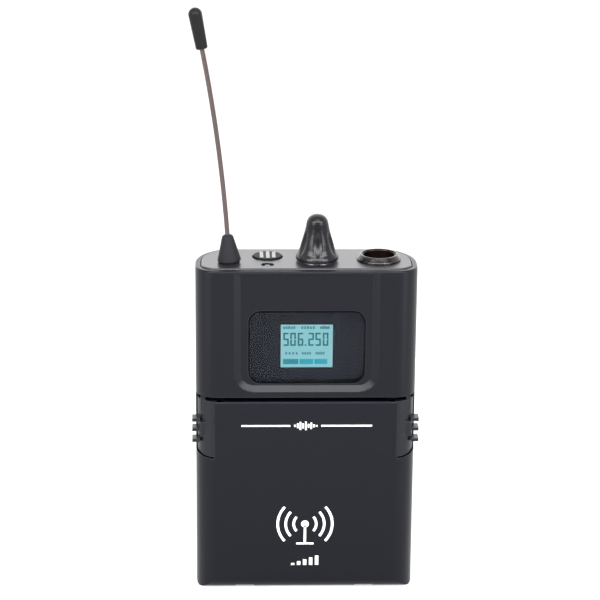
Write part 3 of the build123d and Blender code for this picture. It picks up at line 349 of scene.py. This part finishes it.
# ------------------------------------------------------------------ battery door
# A shallow moulded tray hinged along its rounded bottom edge. Its two latches
# slide inwards under a thin lip, each pushed out by a small coil spring.
spring_steel = finish_of(
    "spring steel", (0.52, 0.52, 0.54), 0.24, grain=9000.0, relief=0.05, uneven=0.1, Metallic=1.0,
)
refined("battery_door", case_plastic)
# The edge colour here is a painted highlight along the latches' sharp edges.
latch_plastic = finish_of(
    "latch plastic", (0.003, 0.0035, 0.0058), 0.36, grain=5200.0, relief=0.16, uneven=0.06,
    edge_highlight=(0.04, 0.042, 0.05), Specular_IOR_Level=0.28,
)
for side, name in ((-1, "left"), (1, "right")):
    refined(f"latch_{name}", latch_plastic, width=0.15 * MM)
    coil = refined(f"latch_spring_{name}", spring_steel, width=0.01 * MM, segments=1)
    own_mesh(coil)
refined("door_hinge_pin", spring_steel, width=0.1 * MM)

# ------------------------------------------------------------------ door markings
# Plain symbols in white ink: a rule with a level wave, a mast sending waves,
# and a row of signal bars. They lie a hundredth of a millimetre proud.


def block(name, low, high):
    """A box given by its low and high corners in millimetres."""
    centre = [(a + b) / 2 * MM for a, b in zip(low, high)]
    bpy.ops.object.select_all(action="DESELECT")
    bpy.ops.mesh.primitive_cube_add(size=1, location=centre)
    piece = bpy.context.object
    piece.name = name
    piece.scale = [(b - a) * MM for a, b in zip(low, high)]
    bpy.ops.object.transform_apply(location=True, rotation=True, scale=True)
    return piece


def spun(name, line, centre, axis, angle=360.0, steps=96):
    """A surface made by turning a line of points, in millimetres, about an axis."""
    bpy.ops.object.select_all(action="DESELECT")
    bpy.ops.mesh.primitive_plane_add(size=MM, location=[value * MM for value in line[0]])
    piece = bpy.context.object
    piece.name = name
    bpy.ops.object.transform_apply(location=True, rotation=True, scale=True)
    bpy.ops.object.mode_set(mode="EDIT")
    bpy.ops.mesh.select_all(action="SELECT")
    bpy.ops.mesh.merge(type="CENTER")
    for start, end in zip(line, line[1:]):
        step = [(b - a) * MM for a, b in zip(start, end)]
        bpy.ops.mesh.extrude_region_move(TRANSFORM_OT_translate={"value": step})
    bpy.ops.mesh.select_all(action="SELECT")
    bpy.ops.mesh.spin(
        steps=steps, angle=math.radians(angle), center=[value * MM for value in centre], axis=axis,
    )
    bpy.ops.mesh.select_all(action="SELECT")
    bpy.ops.mesh.remove_doubles(threshold=0.0000005)
    bpy.ops.mesh.normals_make_consistent(inside=False)
    bpy.ops.object.mode_set(mode="OBJECT")
    return piece


def joined(name, pieces):
    """Several pieces made one."""
    bpy.ops.object.select_all(action="DESELECT")
    for piece in pieces:
        piece.select_set(True)
    bpy.context.view_layer.objects.active = pieces[0]
    bpy.ops.object.join()
    pieces[0].name = name
    return pieces[0]


def bar(x_span, z_span, y=-12.01, thick=0.02):
    """A flat bar of ink or print facing the front."""
    return block("bar", (x_span[0], y, z_span[0]), (x_span[1], y + thick, z_span[1]))


def arc(x, z, inner, outer, start, sweep, y=-12.01):
    """A flat arc of ink about (x, z), from start degrees, anticlockwise as seen."""
    turn = math.radians(start)
    line = [(x + r * math.cos(turn), y, z + r * math.sin(turn)) for r in (inner, outer)]
    return spun("arc", line, (x, y, z), (0, 1, 0), angle=sweep, steps=24)


white_ink = finish_of(
    "white ink", (0.82, 0.82, 0.82), 0.45, grain=3000.0, relief=0.05, uneven=0.06,
    Specular_IOR_Level=0.4,
)
marks = [bar((-19.0, -4.6), (52.25, 52.75)), bar((4.6, 19.6), (52.25, 52.75))]
for step, half in enumerate((0.35, 0.75, 1.25, 0.8, 1.35, 0.6, 1.0, 0.45, 0.25)):
    x = -3.2 + 0.8 * step
    marks.append(bar((x - 0.24, x + 0.24), (52.5 - half, 52.5 + half)))
marks += [bar((-0.35, 0.35), (14.8, 20.6)), bar((-2.6, 2.6), (14.6, 15.15))]
marks.append(arc(0.0, 21.2, 0.02, 1.15, 0, 360))
for reach in (3.0, 5.4, 7.8):
    marks.append(arc(0.0, 21.2, reach, reach + 0.75, -42, 84))
    marks.append(arc(0.0, 21.2, reach, reach + 0.75, 138, 84))
for step in range(5):
    x = -3.6 + 1.8 * step
    marks.append(bar((x - 0.5, x + 0.5), (7.9, 8.5 + 0.6 * step)))
settle(joined("door_markings", marks), "door", "guide_white", white_ink)

# ------------------------------------------------------------------ display
# A clear window with a black print behind its edges, over a cyan backlit
# segment display that stands on a light guide in a moulded holder.
def plain_tree(name):
    """A new node material, its tree and its Principled shader."""
    material = bpy.data.materials.new(name)
    material.use_nodes = True
    return material, material.node_tree, material.node_tree.nodes["Principled BSDF"]


clear_lens, tree, shader = plain_tree("clear window")
shader.inputs["Base Color"].default_value = (0.97, 0.98, 0.985, 1)
shader.inputs["Transmission Weight"].default_value = 1.0
shader.inputs["IOR"].default_value = 1.15
smear = tree.nodes.new("ShaderNodeTexNoise")
smear.inputs["Scale"].default_value = 160.0
smear_place = tree.nodes.new("ShaderNodeTexCoord")
smear_range = tree.nodes.new("ShaderNodeMapRange")
smear_range.inputs["To Min"].default_value = 0.015
smear_range.inputs["To Max"].default_value = 0.05
tree.links.new(smear_place.outputs["Object"], smear.inputs["Vector"])
tree.links.new(smear.outputs["Fac"], smear_range.inputs["Value"])
tree.links.new(smear_range.outputs["Result"], shader.inputs["Roughness"])
refined("display_lens", clear_lens, width=0.12 * MM)

print_black = finish_of(
    "window print", (0.002, 0.0032, 0.0075), 0.5, grain=3000.0, relief=0.03, uneven=0.05,
    Specular_IOR_Level=0.1,
)
LCD_LEFT, LCD_RIGHT, LCD_LOW, LCD_TOP = -7.5, 7.75, 69.9, 83.05
PRINT_Y = -9.17
frame_bars = [
    bar((-17.9, LCD_LEFT), (65.2, 87.8), PRINT_Y, 0.05),
    bar((LCD_RIGHT, 18.1), (65.2, 87.8), PRINT_Y, 0.05),
    bar((LCD_LEFT, LCD_RIGHT), (65.2, LCD_LOW), PRINT_Y, 0.05),
    bar((LCD_LEFT, LCD_RIGHT), (LCD_TOP, 87.8), PRINT_Y, 0.05),
]
settle(joined("window_print", frame_bars), "case", "inner_black", print_black)

# A near-black matte ring fills the gap round the window. It is painted shade, standing in for the shadow
# in that gap.
window_centre = (0.1 * MM, -10.93 * MM, 76.55 * MM)
bpy.ops.object.select_all(action="DESELECT")
bpy.ops.mesh.primitive_plane_add(size=MM, location=window_centre, rotation=(math.pi / 2, 0, 0))
gap_shade_ring = bpy.context.object
gap_shade_ring.name = "window_gap_shade"
gap_shade_ring.scale = (33.82, 21.92, 1.0)
bpy.ops.object.transform_apply(location=True, rotation=True, scale=True)
bpy.ops.object.mode_set(mode="EDIT")
bpy.ops.mesh.select_all(action="SELECT")
bpy.ops.mesh.bevel(affect="VERTICES", offset=3.4 * MM, segments=10)
bpy.ops.mesh.select_all(action="SELECT")
bpy.ops.mesh.delete(type="ONLY_FACE")
bpy.ops.mesh.select_all(action="SELECT")
bpy.ops.mesh.extrude_edges_move(TRANSFORM_OT_translate={"value": (0, 0.6 * MM, 0)})
bpy.ops.object.mode_set(mode="OBJECT")
bpy.ops.object.modifier_add(type="SOLIDIFY")
gap_shade_ring.modifiers[-1].thickness = 0.42 * MM
gap_shade_ring.modifiers[-1].offset = 0.0
bpy.ops.object.modifier_apply(modifier=gap_shade_ring.modifiers[-1].name)
gap_shade_black = finish_of(
    "gap shade black", (0.0015, 0.0015, 0.0016), 0.9, grain=2600.0, relief=0.1, uneven=0.05,
    Specular_IOR_Level=0.05,
)
settle(gap_shade_ring, "case", "inner_black", gap_shade_black)


def glow_of(name, colour):
    """A faintly clouded lit surface."""
    material, tree, shader = plain_tree(name)
    place = tree.nodes.new("ShaderNodeTexCoord")
    cloud = tree.nodes.new("ShaderNodeTexNoise")
    cloud.inputs["Scale"].default_value = 70.0
    fade = tree.nodes.new("ShaderNodeMapRange")
    fade.inputs["To Min"].default_value = -0.06
    fade.inputs["To Max"].default_value = 0.06
    tint = tree.nodes.new("ShaderNodeHueSaturation")
    tint.inputs["Color"].default_value = (*colour, 1)
    value = tree.nodes.new("ShaderNodeMath")
    value.operation = "ADD"
    value.inputs[1].default_value = 1.0
    tree.links.new(place.outputs["Object"], cloud.inputs["Vector"])
    tree.links.new(cloud.outputs["Fac"], fade.inputs["Value"])
    tree.links.new(fade.outputs["Result"], value.inputs[0])
    tree.links.new(value.outputs[0], tint.inputs["Value"])
    tree.links.new(tint.outputs["Color"], shader.inputs["Emission Color"])
    shader.inputs["Emission Strength"].default_value = 1.0
    shader.inputs["Base Color"].default_value = (0.01, 0.015, 0.015, 1)
    shader.inputs["Specular IOR Level"].default_value = 0.1
    shader.inputs["Roughness"].default_value = 0.3
    return material


lcd_lit = glow_of("lit display", (0.22, 0.52, 0.57))
lcd_edge = glow_of("lit display edge", (0.25, 0.53, 0.575))
lcd_dark = glow_of("display segment", (0.006, 0.13, 0.16))
lcd_faint = glow_of("faint segment", (0.045, 0.21, 0.27))
lcd_blue = glow_of("display key tab", (0.004, 0.33, 0.44))
lcd_teal = glow_of("display dark tab", (0.004, 0.21, 0.29))
panel = block("lcd_panel", (LCD_LEFT - 2.0, -9.06, 67.8), (LCD_RIGHT + 2.0, -9.051, 85.4))
settle(panel, "case", "lcd", lcd_lit)
edge_bars = [
    bar((LCD_LEFT, LCD_LEFT + 0.6), (LCD_LOW, LCD_TOP), -9.075, 0.01),
    bar((LCD_RIGHT - 0.6, LCD_RIGHT), (LCD_LOW, LCD_TOP), -9.075, 0.01),
    bar((LCD_LEFT + 0.6, LCD_RIGHT - 0.6), (LCD_TOP - 0.55, LCD_TOP), -9.075, 0.01),
]
settle(joined("lcd_margin", edge_bars), "case", "lcd", lcd_edge)

SEGMENT_Y = -9.09
SEGMENTS = {0: "abcdef", 2: "abged", 5: "afgcd", 6: "afgedc"}


def digit(x, low, value, width=1.66, height=4.05, stroke=0.5):
    """The dark strokes of one seven-segment digit, its lower edge at low."""
    left, right = x - width / 2, x + width / 2
    middle, top = low + height / 2, low + height
    strokes = {
        "a": ((left + 0.1, right - 0.1), (top - stroke, top)),
        "g": ((left + 0.1, right - 0.1), (middle - stroke / 2, middle + stroke / 2)),
        "d": ((left + 0.1, right - 0.1), (low, low + stroke)),
        "f": ((left, left + stroke), (middle + 0.1, top - 0.1)),
        "b": ((right - stroke, right), (middle + 0.1, top - 0.1)),
        "e": ((left, left + stroke), (low + 0.1, middle - 0.1)),
        "c": ((right - stroke, right), (low + 0.1, middle - 0.1)),
    }
    return [bar(*strokes[key], SEGMENT_Y, 0.02) for key in SEGMENTS[value]]


DIGITS_LOW = 76.5
dark = []
for x, value in ((-5.95, 5), (-3.9, 0), (-1.7, 6), (1.4, 2), (3.45, 5), (5.65, 0)):
    dark += digit(x, DIGITS_LOW, value)
dark.append(bar((-0.5, -0.02), (DIGITS_LOW, DIGITS_LOW + 0.48), SEGMENT_Y, 0.02))
settle(joined("lcd_digits", dark), "case", "lcd", lcd_dark)

faint = []
for start, end in ((-6.9, -3.2), (-1.6, 2.6), (4.0, 6.8)):
    for step in range(5):
        x = start + (end - start) * (step + 0.5) / 5
        faint.append(bar((x - 0.3, x + 0.3), (81.7, 82.45 + 0.08 * (step % 3)), SEGMENT_Y, 0.02))
for start, end in ((-6.4, -2.3), (-1.4, 1.5), (2.7, 5.4)):
    for step in range(4):
        x = start + (end - start) * (step + 0.5) / 4
        faint.append(bar((x - 0.28, x + 0.28), (73.8, 74.6), SEGMENT_Y, 0.02))
settle(joined("lcd_icons", faint), "case", "lcd", lcd_faint)
TAB_ROW = (70.85, 72.45)
left_tab = bar((-6.8, -2.3), TAB_ROW, SEGMENT_Y, 0.02)
left_tab.name = "lcd_left_tab"
settle(left_tab, "case", "lcd", lcd_teal)
right_tabs = [bar(span, TAB_ROW, SEGMENT_Y, 0.02) for span in ((-2.0, 2.1), (2.4, 6.2))]
settle(joined("lcd_right_tabs", right_tabs), "case", "lcd", lcd_blue)

glass_edge = finish_of(
    "display glass edge", (0.10, 0.16, 0.16), 0.12, uneven=0.04, Specular_IOR_Level=0.5,
)
paint(glass_edge, "lcd_glass")
paint(finish_of("light guide", (0.78, 0.8, 0.8), 0.3, grain=2500.0), "light_guide")
paint(finish_of("holder plastic", (0.012, 0.012, 0.013), 0.5, grain=3500.0), "lcd_holder")

# ------------------------------------------------------------------ antenna
# A flexible steel whip in a matte rubber boot, with a moulded cap on its tip.
# The boot grips a flanged stud that a nut clamps through the plate.
rubber = finish_of(
    "boot rubber", (0.0095, 0.0095, 0.012), 0.6, grain=2600.0, relief=0.35, uneven=0.1,
    Specular_IOR_Level=0.15,
)
whip_steel = finish_of(
    "whip wire", (0.115, 0.088, 0.086), 0.36, grain=9000.0, relief=0.08, uneven=0.12, Metallic=1.0,
)
cap_plastic = finish_of(
    "cap plastic", (0.0055, 0.0052, 0.0056), 0.46, grain=3800.0, relief=0.2, uneven=0.08,
    Specular_IOR_Level=0.15,
)
refined("antenna_boot", rubber, width=0.18 * MM, segments=3)
refined("antenna_whip", whip_steel, width=0.02 * MM, segments=1)
refined("antenna_cap", cap_plastic, width=0.12 * MM, segments=3)
machined_steel = finish_of(
    "machined steel", (0.46, 0.46, 0.47), 0.3, grain=7000.0, relief=0.08, uneven=0.12, Metallic=1.0,
)
paint(machined_steel, "antenna_stud", "antenna_nut")

# ------------------------------------------------------------------ mute button and light
# A ribbed push button over a tact switch, and a clear-capped status light
# beside it, both on a small board. The button is drawn 1.5 per cent short, or
# its flange would graze the main board at full press.
button_plastic = finish_of(
    "button plastic", (0.006, 0.006, 0.007), 0.55, grain=5200.0, relief=0.03, uneven=0.03,
    Specular_IOR_Level=0.1,
)
BUTTON_X, BUTTON_Y, BUTTON_TOP = -11.3, 2.5, 100.9
refined("mute_button", button_plastic, width=0.1 * MM, segments=3)
bpy.ops.object.mode_set(mode="EDIT")
bpy.ops.mesh.select_all(action="SELECT")
bpy.ops.transform.resize(
    value=(1, 1, 0.985), center_override=(BUTTON_X * MM, BUTTON_Y * MM, BUTTON_TOP * MM),
)
bpy.ops.object.mode_set(mode="OBJECT")
rib_gloss = finish_of(
    "button rib gloss", (0.02, 0.02, 0.022), 0.12, grain=5200.0, relief=0.005, uneven=0.03,
    Specular_IOR_Level=1.0,
)
RIB_CIRCLE_R, RIB_HALF_W = 3.6, 0.55
ribs = []
for offset in (-1.75, 0.1, 1.85):
    x = BUTTON_X + offset
    reach = math.sqrt(RIB_CIRCLE_R ** 2 - offset ** 2)
    rib = block(
        "button_rib",
        (x - RIB_HALF_W, BUTTON_Y - reach, BUTTON_TOP - 0.3),
        (x + RIB_HALF_W, BUTTON_Y + reach, BUTTON_TOP + 0.1),
    )
    soften(rib, 0.12 * MM, segments=3)
    ribs.append(rib)
settle(joined("button_ribs", ribs), "mute_button", "control_black", rib_gloss)
paint(finish_of("switch body", (0.03, 0.03, 0.032), 0.5), "mute_switch")
led_clear, tree, shader = plain_tree("light lens")
shader.inputs["Base Color"].default_value = (0.08, 0.1, 0.15, 1)
shader.inputs["Transmission Weight"].default_value = 0.15
shader.inputs["IOR"].default_value = 1.5
haze_place = tree.nodes.new("ShaderNodeTexCoord")
haze = tree.nodes.new("ShaderNodeTexNoise")
haze.inputs["Scale"].default_value = 900.0
haze_range = tree.nodes.new("ShaderNodeMapRange")
haze_range.inputs["To Min"].default_value = 0.18
haze_range.inputs["To Max"].default_value = 0.34
tree.links.new(haze_place.outputs["Object"], haze.inputs["Vector"])
tree.links.new(haze.outputs["Fac"], haze_range.inputs["Value"])
tree.links.new(haze_range.outputs["Result"], shader.inputs["Roughness"])
refined("status_led", led_clear, width=0.05 * MM)

# ------------------------------------------------------------------ level control
# A tapered knob with six scooped flutes, flaring into a skirt. It grips the
# shaft of a small potentiometer that its nut clamps under the plate.
knob_plastic = finish_of(
    "knob plastic", (0.006, 0.0055, 0.0072), 0.26, grain=4200.0, relief=0.03, uneven=0.08,
    Specular_IOR_Level=0.24,
)
KNOB_X, KNOB_Y, KNOB_LOW, KNOB_TOP = 3.2, -1.7, 100.9, 114.5
BORE_R, BORE_TOP = 2.1, 107.9
HOLLOW_R, SKIRT_R = 4.85, 6.3
SCOOP_OUT, SCOOP_Z = 6.25, 106.7
hollow = [(0.0, BORE_TOP), (BORE_R, BORE_TOP), (BORE_R, 102.75), (HOLLOW_R, 102.35), (HOLLOW_R, KNOB_LOW)]
skirt = [(6.1, KNOB_LOW), (SKIRT_R, 101.1), (SKIRT_R, 101.75), (6.05, 102.35), (5.6, 103.1), (5.15, 104.3)]
bell = [(4.68, 106.0), (4.2, 107.6), (3.78, 109.1), (3.45, 110.5), (3.22, 111.8), (2.95, 112.8)]
crown = [(2.45, 113.6), (1.75, 114.12), (0.9, 114.42), (0.0, KNOB_TOP)]
knob_line = [(KNOB_X + out, KNOB_Y, up) for out, up in hollow + skirt + bell + crown]
knob = spun("knob_bell", knob_line, (KNOB_X, KNOB_Y, 0), (0, 0, 1), steps=96)
for turn in range(6):
    angle = math.radians(60 * turn - 90)
    scoop_x = KNOB_X + SCOOP_OUT * math.cos(angle)
    scoop_y = KNOB_Y + SCOOP_OUT * math.sin(angle)
    bpy.ops.object.select_all(action="DESELECT")
    bpy.ops.mesh.primitive_uv_sphere_add(
        segments=48, ring_count=32, radius=MM, location=(scoop_x * MM, scoop_y * MM, SCOOP_Z * MM),
    )
    scoop = bpy.context.object
    scoop.scale = (2.3, 2.3, 5.2)
    scoop.rotation_euler = (0, math.radians(-17.0), angle)
    bpy.ops.object.transform_apply(location=True, rotation=True, scale=True)
    select_only(knob)
    bpy.ops.object.modifier_add(type="BOOLEAN")
    cut = knob.modifiers[-1]
    cut.operation = "DIFFERENCE"
    cut.object = scoop
    bpy.ops.object.modifier_apply(modifier=cut.name)
    bpy.data.objects.remove(scoop)
bpy.ops.object.modifier_add(type="REMESH")
knob.modifiers[-1].mode = "VOXEL"
knob.modifiers[-1].voxel_size = 0.13 * MM
bpy.ops.object.modifier_apply(modifier=knob.modifiers[-1].name)
bpy.ops.object.modifier_add(type="SMOOTH")
knob.modifiers[-1].factor = 0.5
knob.modifiers[-1].iterations = 8
bpy.ops.object.modifier_apply(modifier=knob.modifiers[-1].name)
bpy.ops.object.shade_smooth()
settle(knob, "level_control", "control_black", knob_plastic, "level_knob")
paint(machined_steel, "pot_shaft", "pot_washer", "pot_nut")
pot_case = finish_of("pot case", (0.4, 0.4, 0.42), 0.36, grain=2200.0, uneven=0.12, Metallic=1.0)
paint(pot_case, "potentiometer")

# ------------------------------------------------------------------ microphone socket
# A plain tube held by a chamfered ring nut. Gold pins stand in a moulded
# insert at the bottom of the tube.
# The light edge colour paints the bright rim and glints of the nut as a painted highlight.
socket_metal = finish_of(
    "socket black chrome", (0.045, 0.043, 0.042), 0.26, grain=5200.0, relief=0.06, uneven=0.1,
    edge_highlight=(0.3, 0.29, 0.28), Metallic=1.0,
)
refined("socket_nut", socket_metal, width=0.12 * MM, segments=3)
tube_metal = finish_of(
    "socket tube", (0.05, 0.029, 0.026), 0.34, grain=5200.0, relief=0.06, uneven=0.1, Metallic=1.0,
)
refined("socket_shell", tube_metal, width=0.08 * MM)
gold = finish_of("gold contact", (0.62, 0.42, 0.14), 0.25, grain=6000.0, uneven=0.1, Metallic=1.0)
refined("socket_pins", gold, width=0.15 * MM, segments=3)
paint(finish_of("insert plastic", (0.02, 0.012, 0.008), 0.4, grain=3000.0), "socket_insulator")

# ------------------------------------------------------------------ battery bay
# A black moulded tray between the cells and the electronics. Nickel strips
# meet the cells at both ends, and each cell shows the flat end of its can.
paint(finish_of("tray plastic", (0.013, 0.0132, 0.0145), 0.52, grain=3600.0, relief=0.25), "battery_tray")
nickel = finish_of("nickel strip", (0.58, 0.57, 0.54), 0.3, grain=5000.0, uneven=0.14, Metallic=1.0)
paint(nickel, "top_contacts", "bottom_contacts")


def band_group(name, low, high, soft=0.00004):
    """A mask that is 1 between two heights of the object's own Z."""
    group = bpy.data.node_groups.new(name, "ShaderNodeTree")
    socket(group, "Mask", "NodeSocketFloat", "OUTPUT")
    n, link = group.nodes, group.links.new
    result = n.new("NodeGroupOutput")
    place = n.new("ShaderNodeTexCoord")
    parts = n.new("ShaderNodeSeparateXYZ")
    link(place.outputs["Object"], parts.inputs["Vector"])
    both = n.new("ShaderNodeMath")
    both.operation = "MULTIPLY"
    for index, (start, end) in enumerate(((low - soft, low + soft), (high + soft, high - soft))):
        ramp = n.new("ShaderNodeMapRange")
        ramp.inputs["From Min"].default_value = start
        ramp.inputs["From Max"].default_value = end
        link(parts.outputs["Z"], ramp.inputs["Value"])
        link(ramp.outputs["Result"], both.inputs[index])
    link(both.outputs[0], result.inputs["Mask"])
    return group


for name, sleeve in (("left", (0.008, 0.011)), ("right", (0.0455, 0.0485))):
    wrap = finish_of(
        f"cell wrap {name}", (0.018, 0.055, 0.075), 0.28, grain=1500.0, relief=0.04, uneven=0.08,
        print_of=(band_group(f"cell band {name}", *sleeve), (0.75, 0.72, 0.66)), Specular_IOR_Level=0.5,
    )
    refined(f"cell_{name}", wrap, width=0.15 * MM)
steel_can = finish_of("cell can", (0.5, 0.49, 0.47), 0.28, grain=5000.0, uneven=0.12, Metallic=1.0)
CELL_Y, CAN_R = 1.5, 6.3
for name, x, flat, outwards in (("left", -20.2, 5.79, -0.02), ("right", -4.4, 56.31, 0.02)):
    can_end = [(x, CELL_Y, flat), (x + CAN_R, CELL_Y, flat), (x + CAN_R, CELL_Y, flat + outwards)]
    disc = spun(f"cell_{name}_end", can_end, (x, CELL_Y, 0), (0, 0, 1), steps=64)
    settle(disc, "case", "contact_nickel", steel_can)

# ------------------------------------------------------------------ menu keys
# Three soft grey keys, marked with a dot and two triangles, stand beside the
# cells and press tact switches on their own small board.
key_rubber = finish_of("key rubber", (0.16, 0.165, 0.17), 0.6, grain=2400.0, relief=0.2, uneven=0.08)
key_white = finish_of("key ink", (0.7, 0.7, 0.7), 0.5, grain=3000.0, relief=0.03, uneven=0.05)
KEY_INK_Y = -5.765
for name, z, points, turn in (("set", 46.0, 32, 0.0), ("up", 35.0, 3, 0.0), ("down", 24.0, 3, 180.0)):
    refined(f"key_{name}", key_rubber, width=0.15 * MM, segments=3)
    bpy.ops.object.select_all(action="DESELECT")
    bpy.ops.mesh.primitive_circle_add(
        vertices=points, radius=0.9 * MM, fill_type="NGON",
        location=(17.0 * MM, KEY_INK_Y * MM, z * MM), rotation=(math.pi / 2, math.radians(turn), 0),
    )
    mark = bpy.context.object
    mark.name = f"key_{name}_mark"
    bpy.ops.object.transform_apply(location=True, rotation=True, scale=True)
    settle(mark, f"key_{name}", "guide_white", key_white)
paint(finish_of("key switch", (0.035, 0.035, 0.037), 0.45), "key_switches")

# ------------------------------------------------------------------ circuit boards
# Green boards with fine etched tracks, a tinned shield over the transmitter,
# and a pin header that links the main board with the display board.
def track_group():
    """Fine tracks: thin lines along the edges of nearly regular cells."""
    group = bpy.data.node_groups.new("etched tracks", "ShaderNodeTree")
    socket(group, "Mask", "NodeSocketFloat", "OUTPUT")
    n, link = group.nodes, group.links.new
    result = n.new("NodeGroupOutput")
    place = n.new("ShaderNodeTexCoord")
    cells = n.new("ShaderNodeTexVoronoi")
    cells.feature = "DISTANCE_TO_EDGE"
    cells.inputs["Scale"].default_value = 420.0
    cells.inputs["Randomness"].default_value = 0.35
    thin = n.new("ShaderNodeMapRange")
    thin.inputs["From Min"].default_value = 0.07
    thin.inputs["From Max"].default_value = 0.04
    link(place.outputs["Object"], cells.inputs["Vector"])
    link(cells.outputs["Distance"], thin.inputs["Value"])
    link(thin.outputs["Result"], result.inputs["Mask"])
    return group


board_green = finish_of(
    "solder mask", (0.006, 0.075, 0.03), 0.34, grain=3000.0, relief=0.05, uneven=0.06,
    print_of=(track_group(), (0.02, 0.16, 0.06)), Specular_IOR_Level=0.5,
)
paint(board_green, "display_board", "main_board", "switch_board", "key_board")
tinned = finish_of("tinned shield", (0.62, 0.62, 0.6), 0.34, grain=2400.0, uneven=0.16, Metallic=1.0)
paint(tinned, "rf_shield")
paint(finish_of("header plastic", (0.015, 0.015, 0.016), 0.5), "board_connector")
paint(machined_steel, "display_screws", "board_screws")

# ------------------------------------------------------------------ belt clip
# One strip of black spring steel: the foot is screwed to the back, bends over
# and runs down as the arm, and its flared tip guides a belt in.
# The edge colour here is a painted highlight along the clip's sharp edges.
clip_paint = finish_of(
    "clip paint", (0.012, 0.0125, 0.0135), 0.34, grain=4200.0, relief=0.14, uneven=0.08,
    edge_highlight=(0.12, 0.12, 0.12), Specular_IOR_Level=0.5,
)
CLIP_HALF_W, FOOT_Y, BEND_R, BEND_Z = 10.0, 12.45, 2.75, 86.0
BEND_Y, ARM_Y = FOOT_Y + BEND_R, FOOT_Y + 2 * BEND_R
path = [(FOOT_Y, 66.0), (FOOT_Y, BEND_Z)]
for turn in range(10, 180, 10):
    angle = math.radians(turn)
    path.append((BEND_Y - BEND_R * math.cos(angle), BEND_Z + BEND_R * math.sin(angle)))
path += [(ARM_Y, z) for z in (BEND_Z, 72.0, 58.0, 45.0, 34.0)]
path += [(18.02, 32.0), (18.5, 29.8), (19.1, 27.4), (19.42, 26.1)]
bpy.ops.object.select_all(action="DESELECT")
bpy.ops.mesh.primitive_plane_add(size=2 * CLIP_HALF_W * MM, location=(0, 0, 0))
strip = bpy.context.object
strip.name = "belt_clip_strip"
bpy.ops.object.mode_set(mode="EDIT")
bpy.ops.mesh.select_all(action="SELECT")
bpy.ops.transform.resize(value=(1, 0, 1))
bpy.ops.mesh.remove_doubles(threshold=0.00001)
bpy.ops.transform.translate(value=(0, path[0][0] * MM, path[0][1] * MM))
for start, end in zip(path, path[1:]):
    step = (0, (end[0] - start[0]) * MM, (end[1] - start[1]) * MM)
    bpy.ops.mesh.extrude_region_move(TRANSFORM_OT_translate={"value": step})
bpy.ops.mesh.select_all(action="SELECT")
bpy.ops.mesh.normals_make_consistent(inside=False)
bpy.ops.object.mode_set(mode="OBJECT")
bpy.ops.object.modifier_add(type="SOLIDIFY")
strip.modifiers[-1].thickness = 0.86 * MM
strip.modifiers[-1].offset = 0.0
bpy.ops.object.modifier_apply(modifier=strip.modifiers[-1].name)
soften(strip, 0.22 * MM, segments=3, sharp=40.0)
strip.data.materials.append(clip_paint)
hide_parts("clip_foot", "clip_arm")
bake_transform(strip)

# ------------------------------------------------------------------ screws
# Two pan-head screws hold the clip and two more join the shells from behind.
# Each has a cross recess.
# The light edge colour is a painted highlight along the screw heads' edges.
black_screw = finish_of(
    "blackened steel", (0.05, 0.05, 0.052), 0.34, grain=5000.0, relief=0.1, uneven=0.12,
    edge_highlight=(0.3, 0.3, 0.3), Metallic=1.0,
)


def crossed(piece, places, back, depth, half, wide):
    """Cut a cross recess into screw heads whose flat tops lie at back."""
    for x, z in places:
        for across, up in ((half, wide), (wide, half)):
            tool = block("recess_tool", (x - across, back - depth, z - up), (x + across, back + 1, z + up))
            select_only(piece)
            bpy.ops.object.modifier_add(type="BOOLEAN")
            cut = piece.modifiers[-1]
            cut.operation = "DIFFERENCE"
            cut.object = tool
            bpy.ops.object.modifier_apply(modifier=cut.name)
            bpy.data.objects.remove(tool)


clip_heads = refined("clip_screws", black_screw, width=0.3 * MM, segments=3)
crossed(clip_heads, [(0, 70.0), (0, 80.0)], back=14.1, depth=0.7, half=1.4, wide=0.28)
case_heads = refined("case_screws", black_screw, width=0.2 * MM)
crossed(case_heads, [(-20.0, 64.5), (20.0, 64.5)], back=11.7, depth=0.7, half=1.1, wide=0.22)
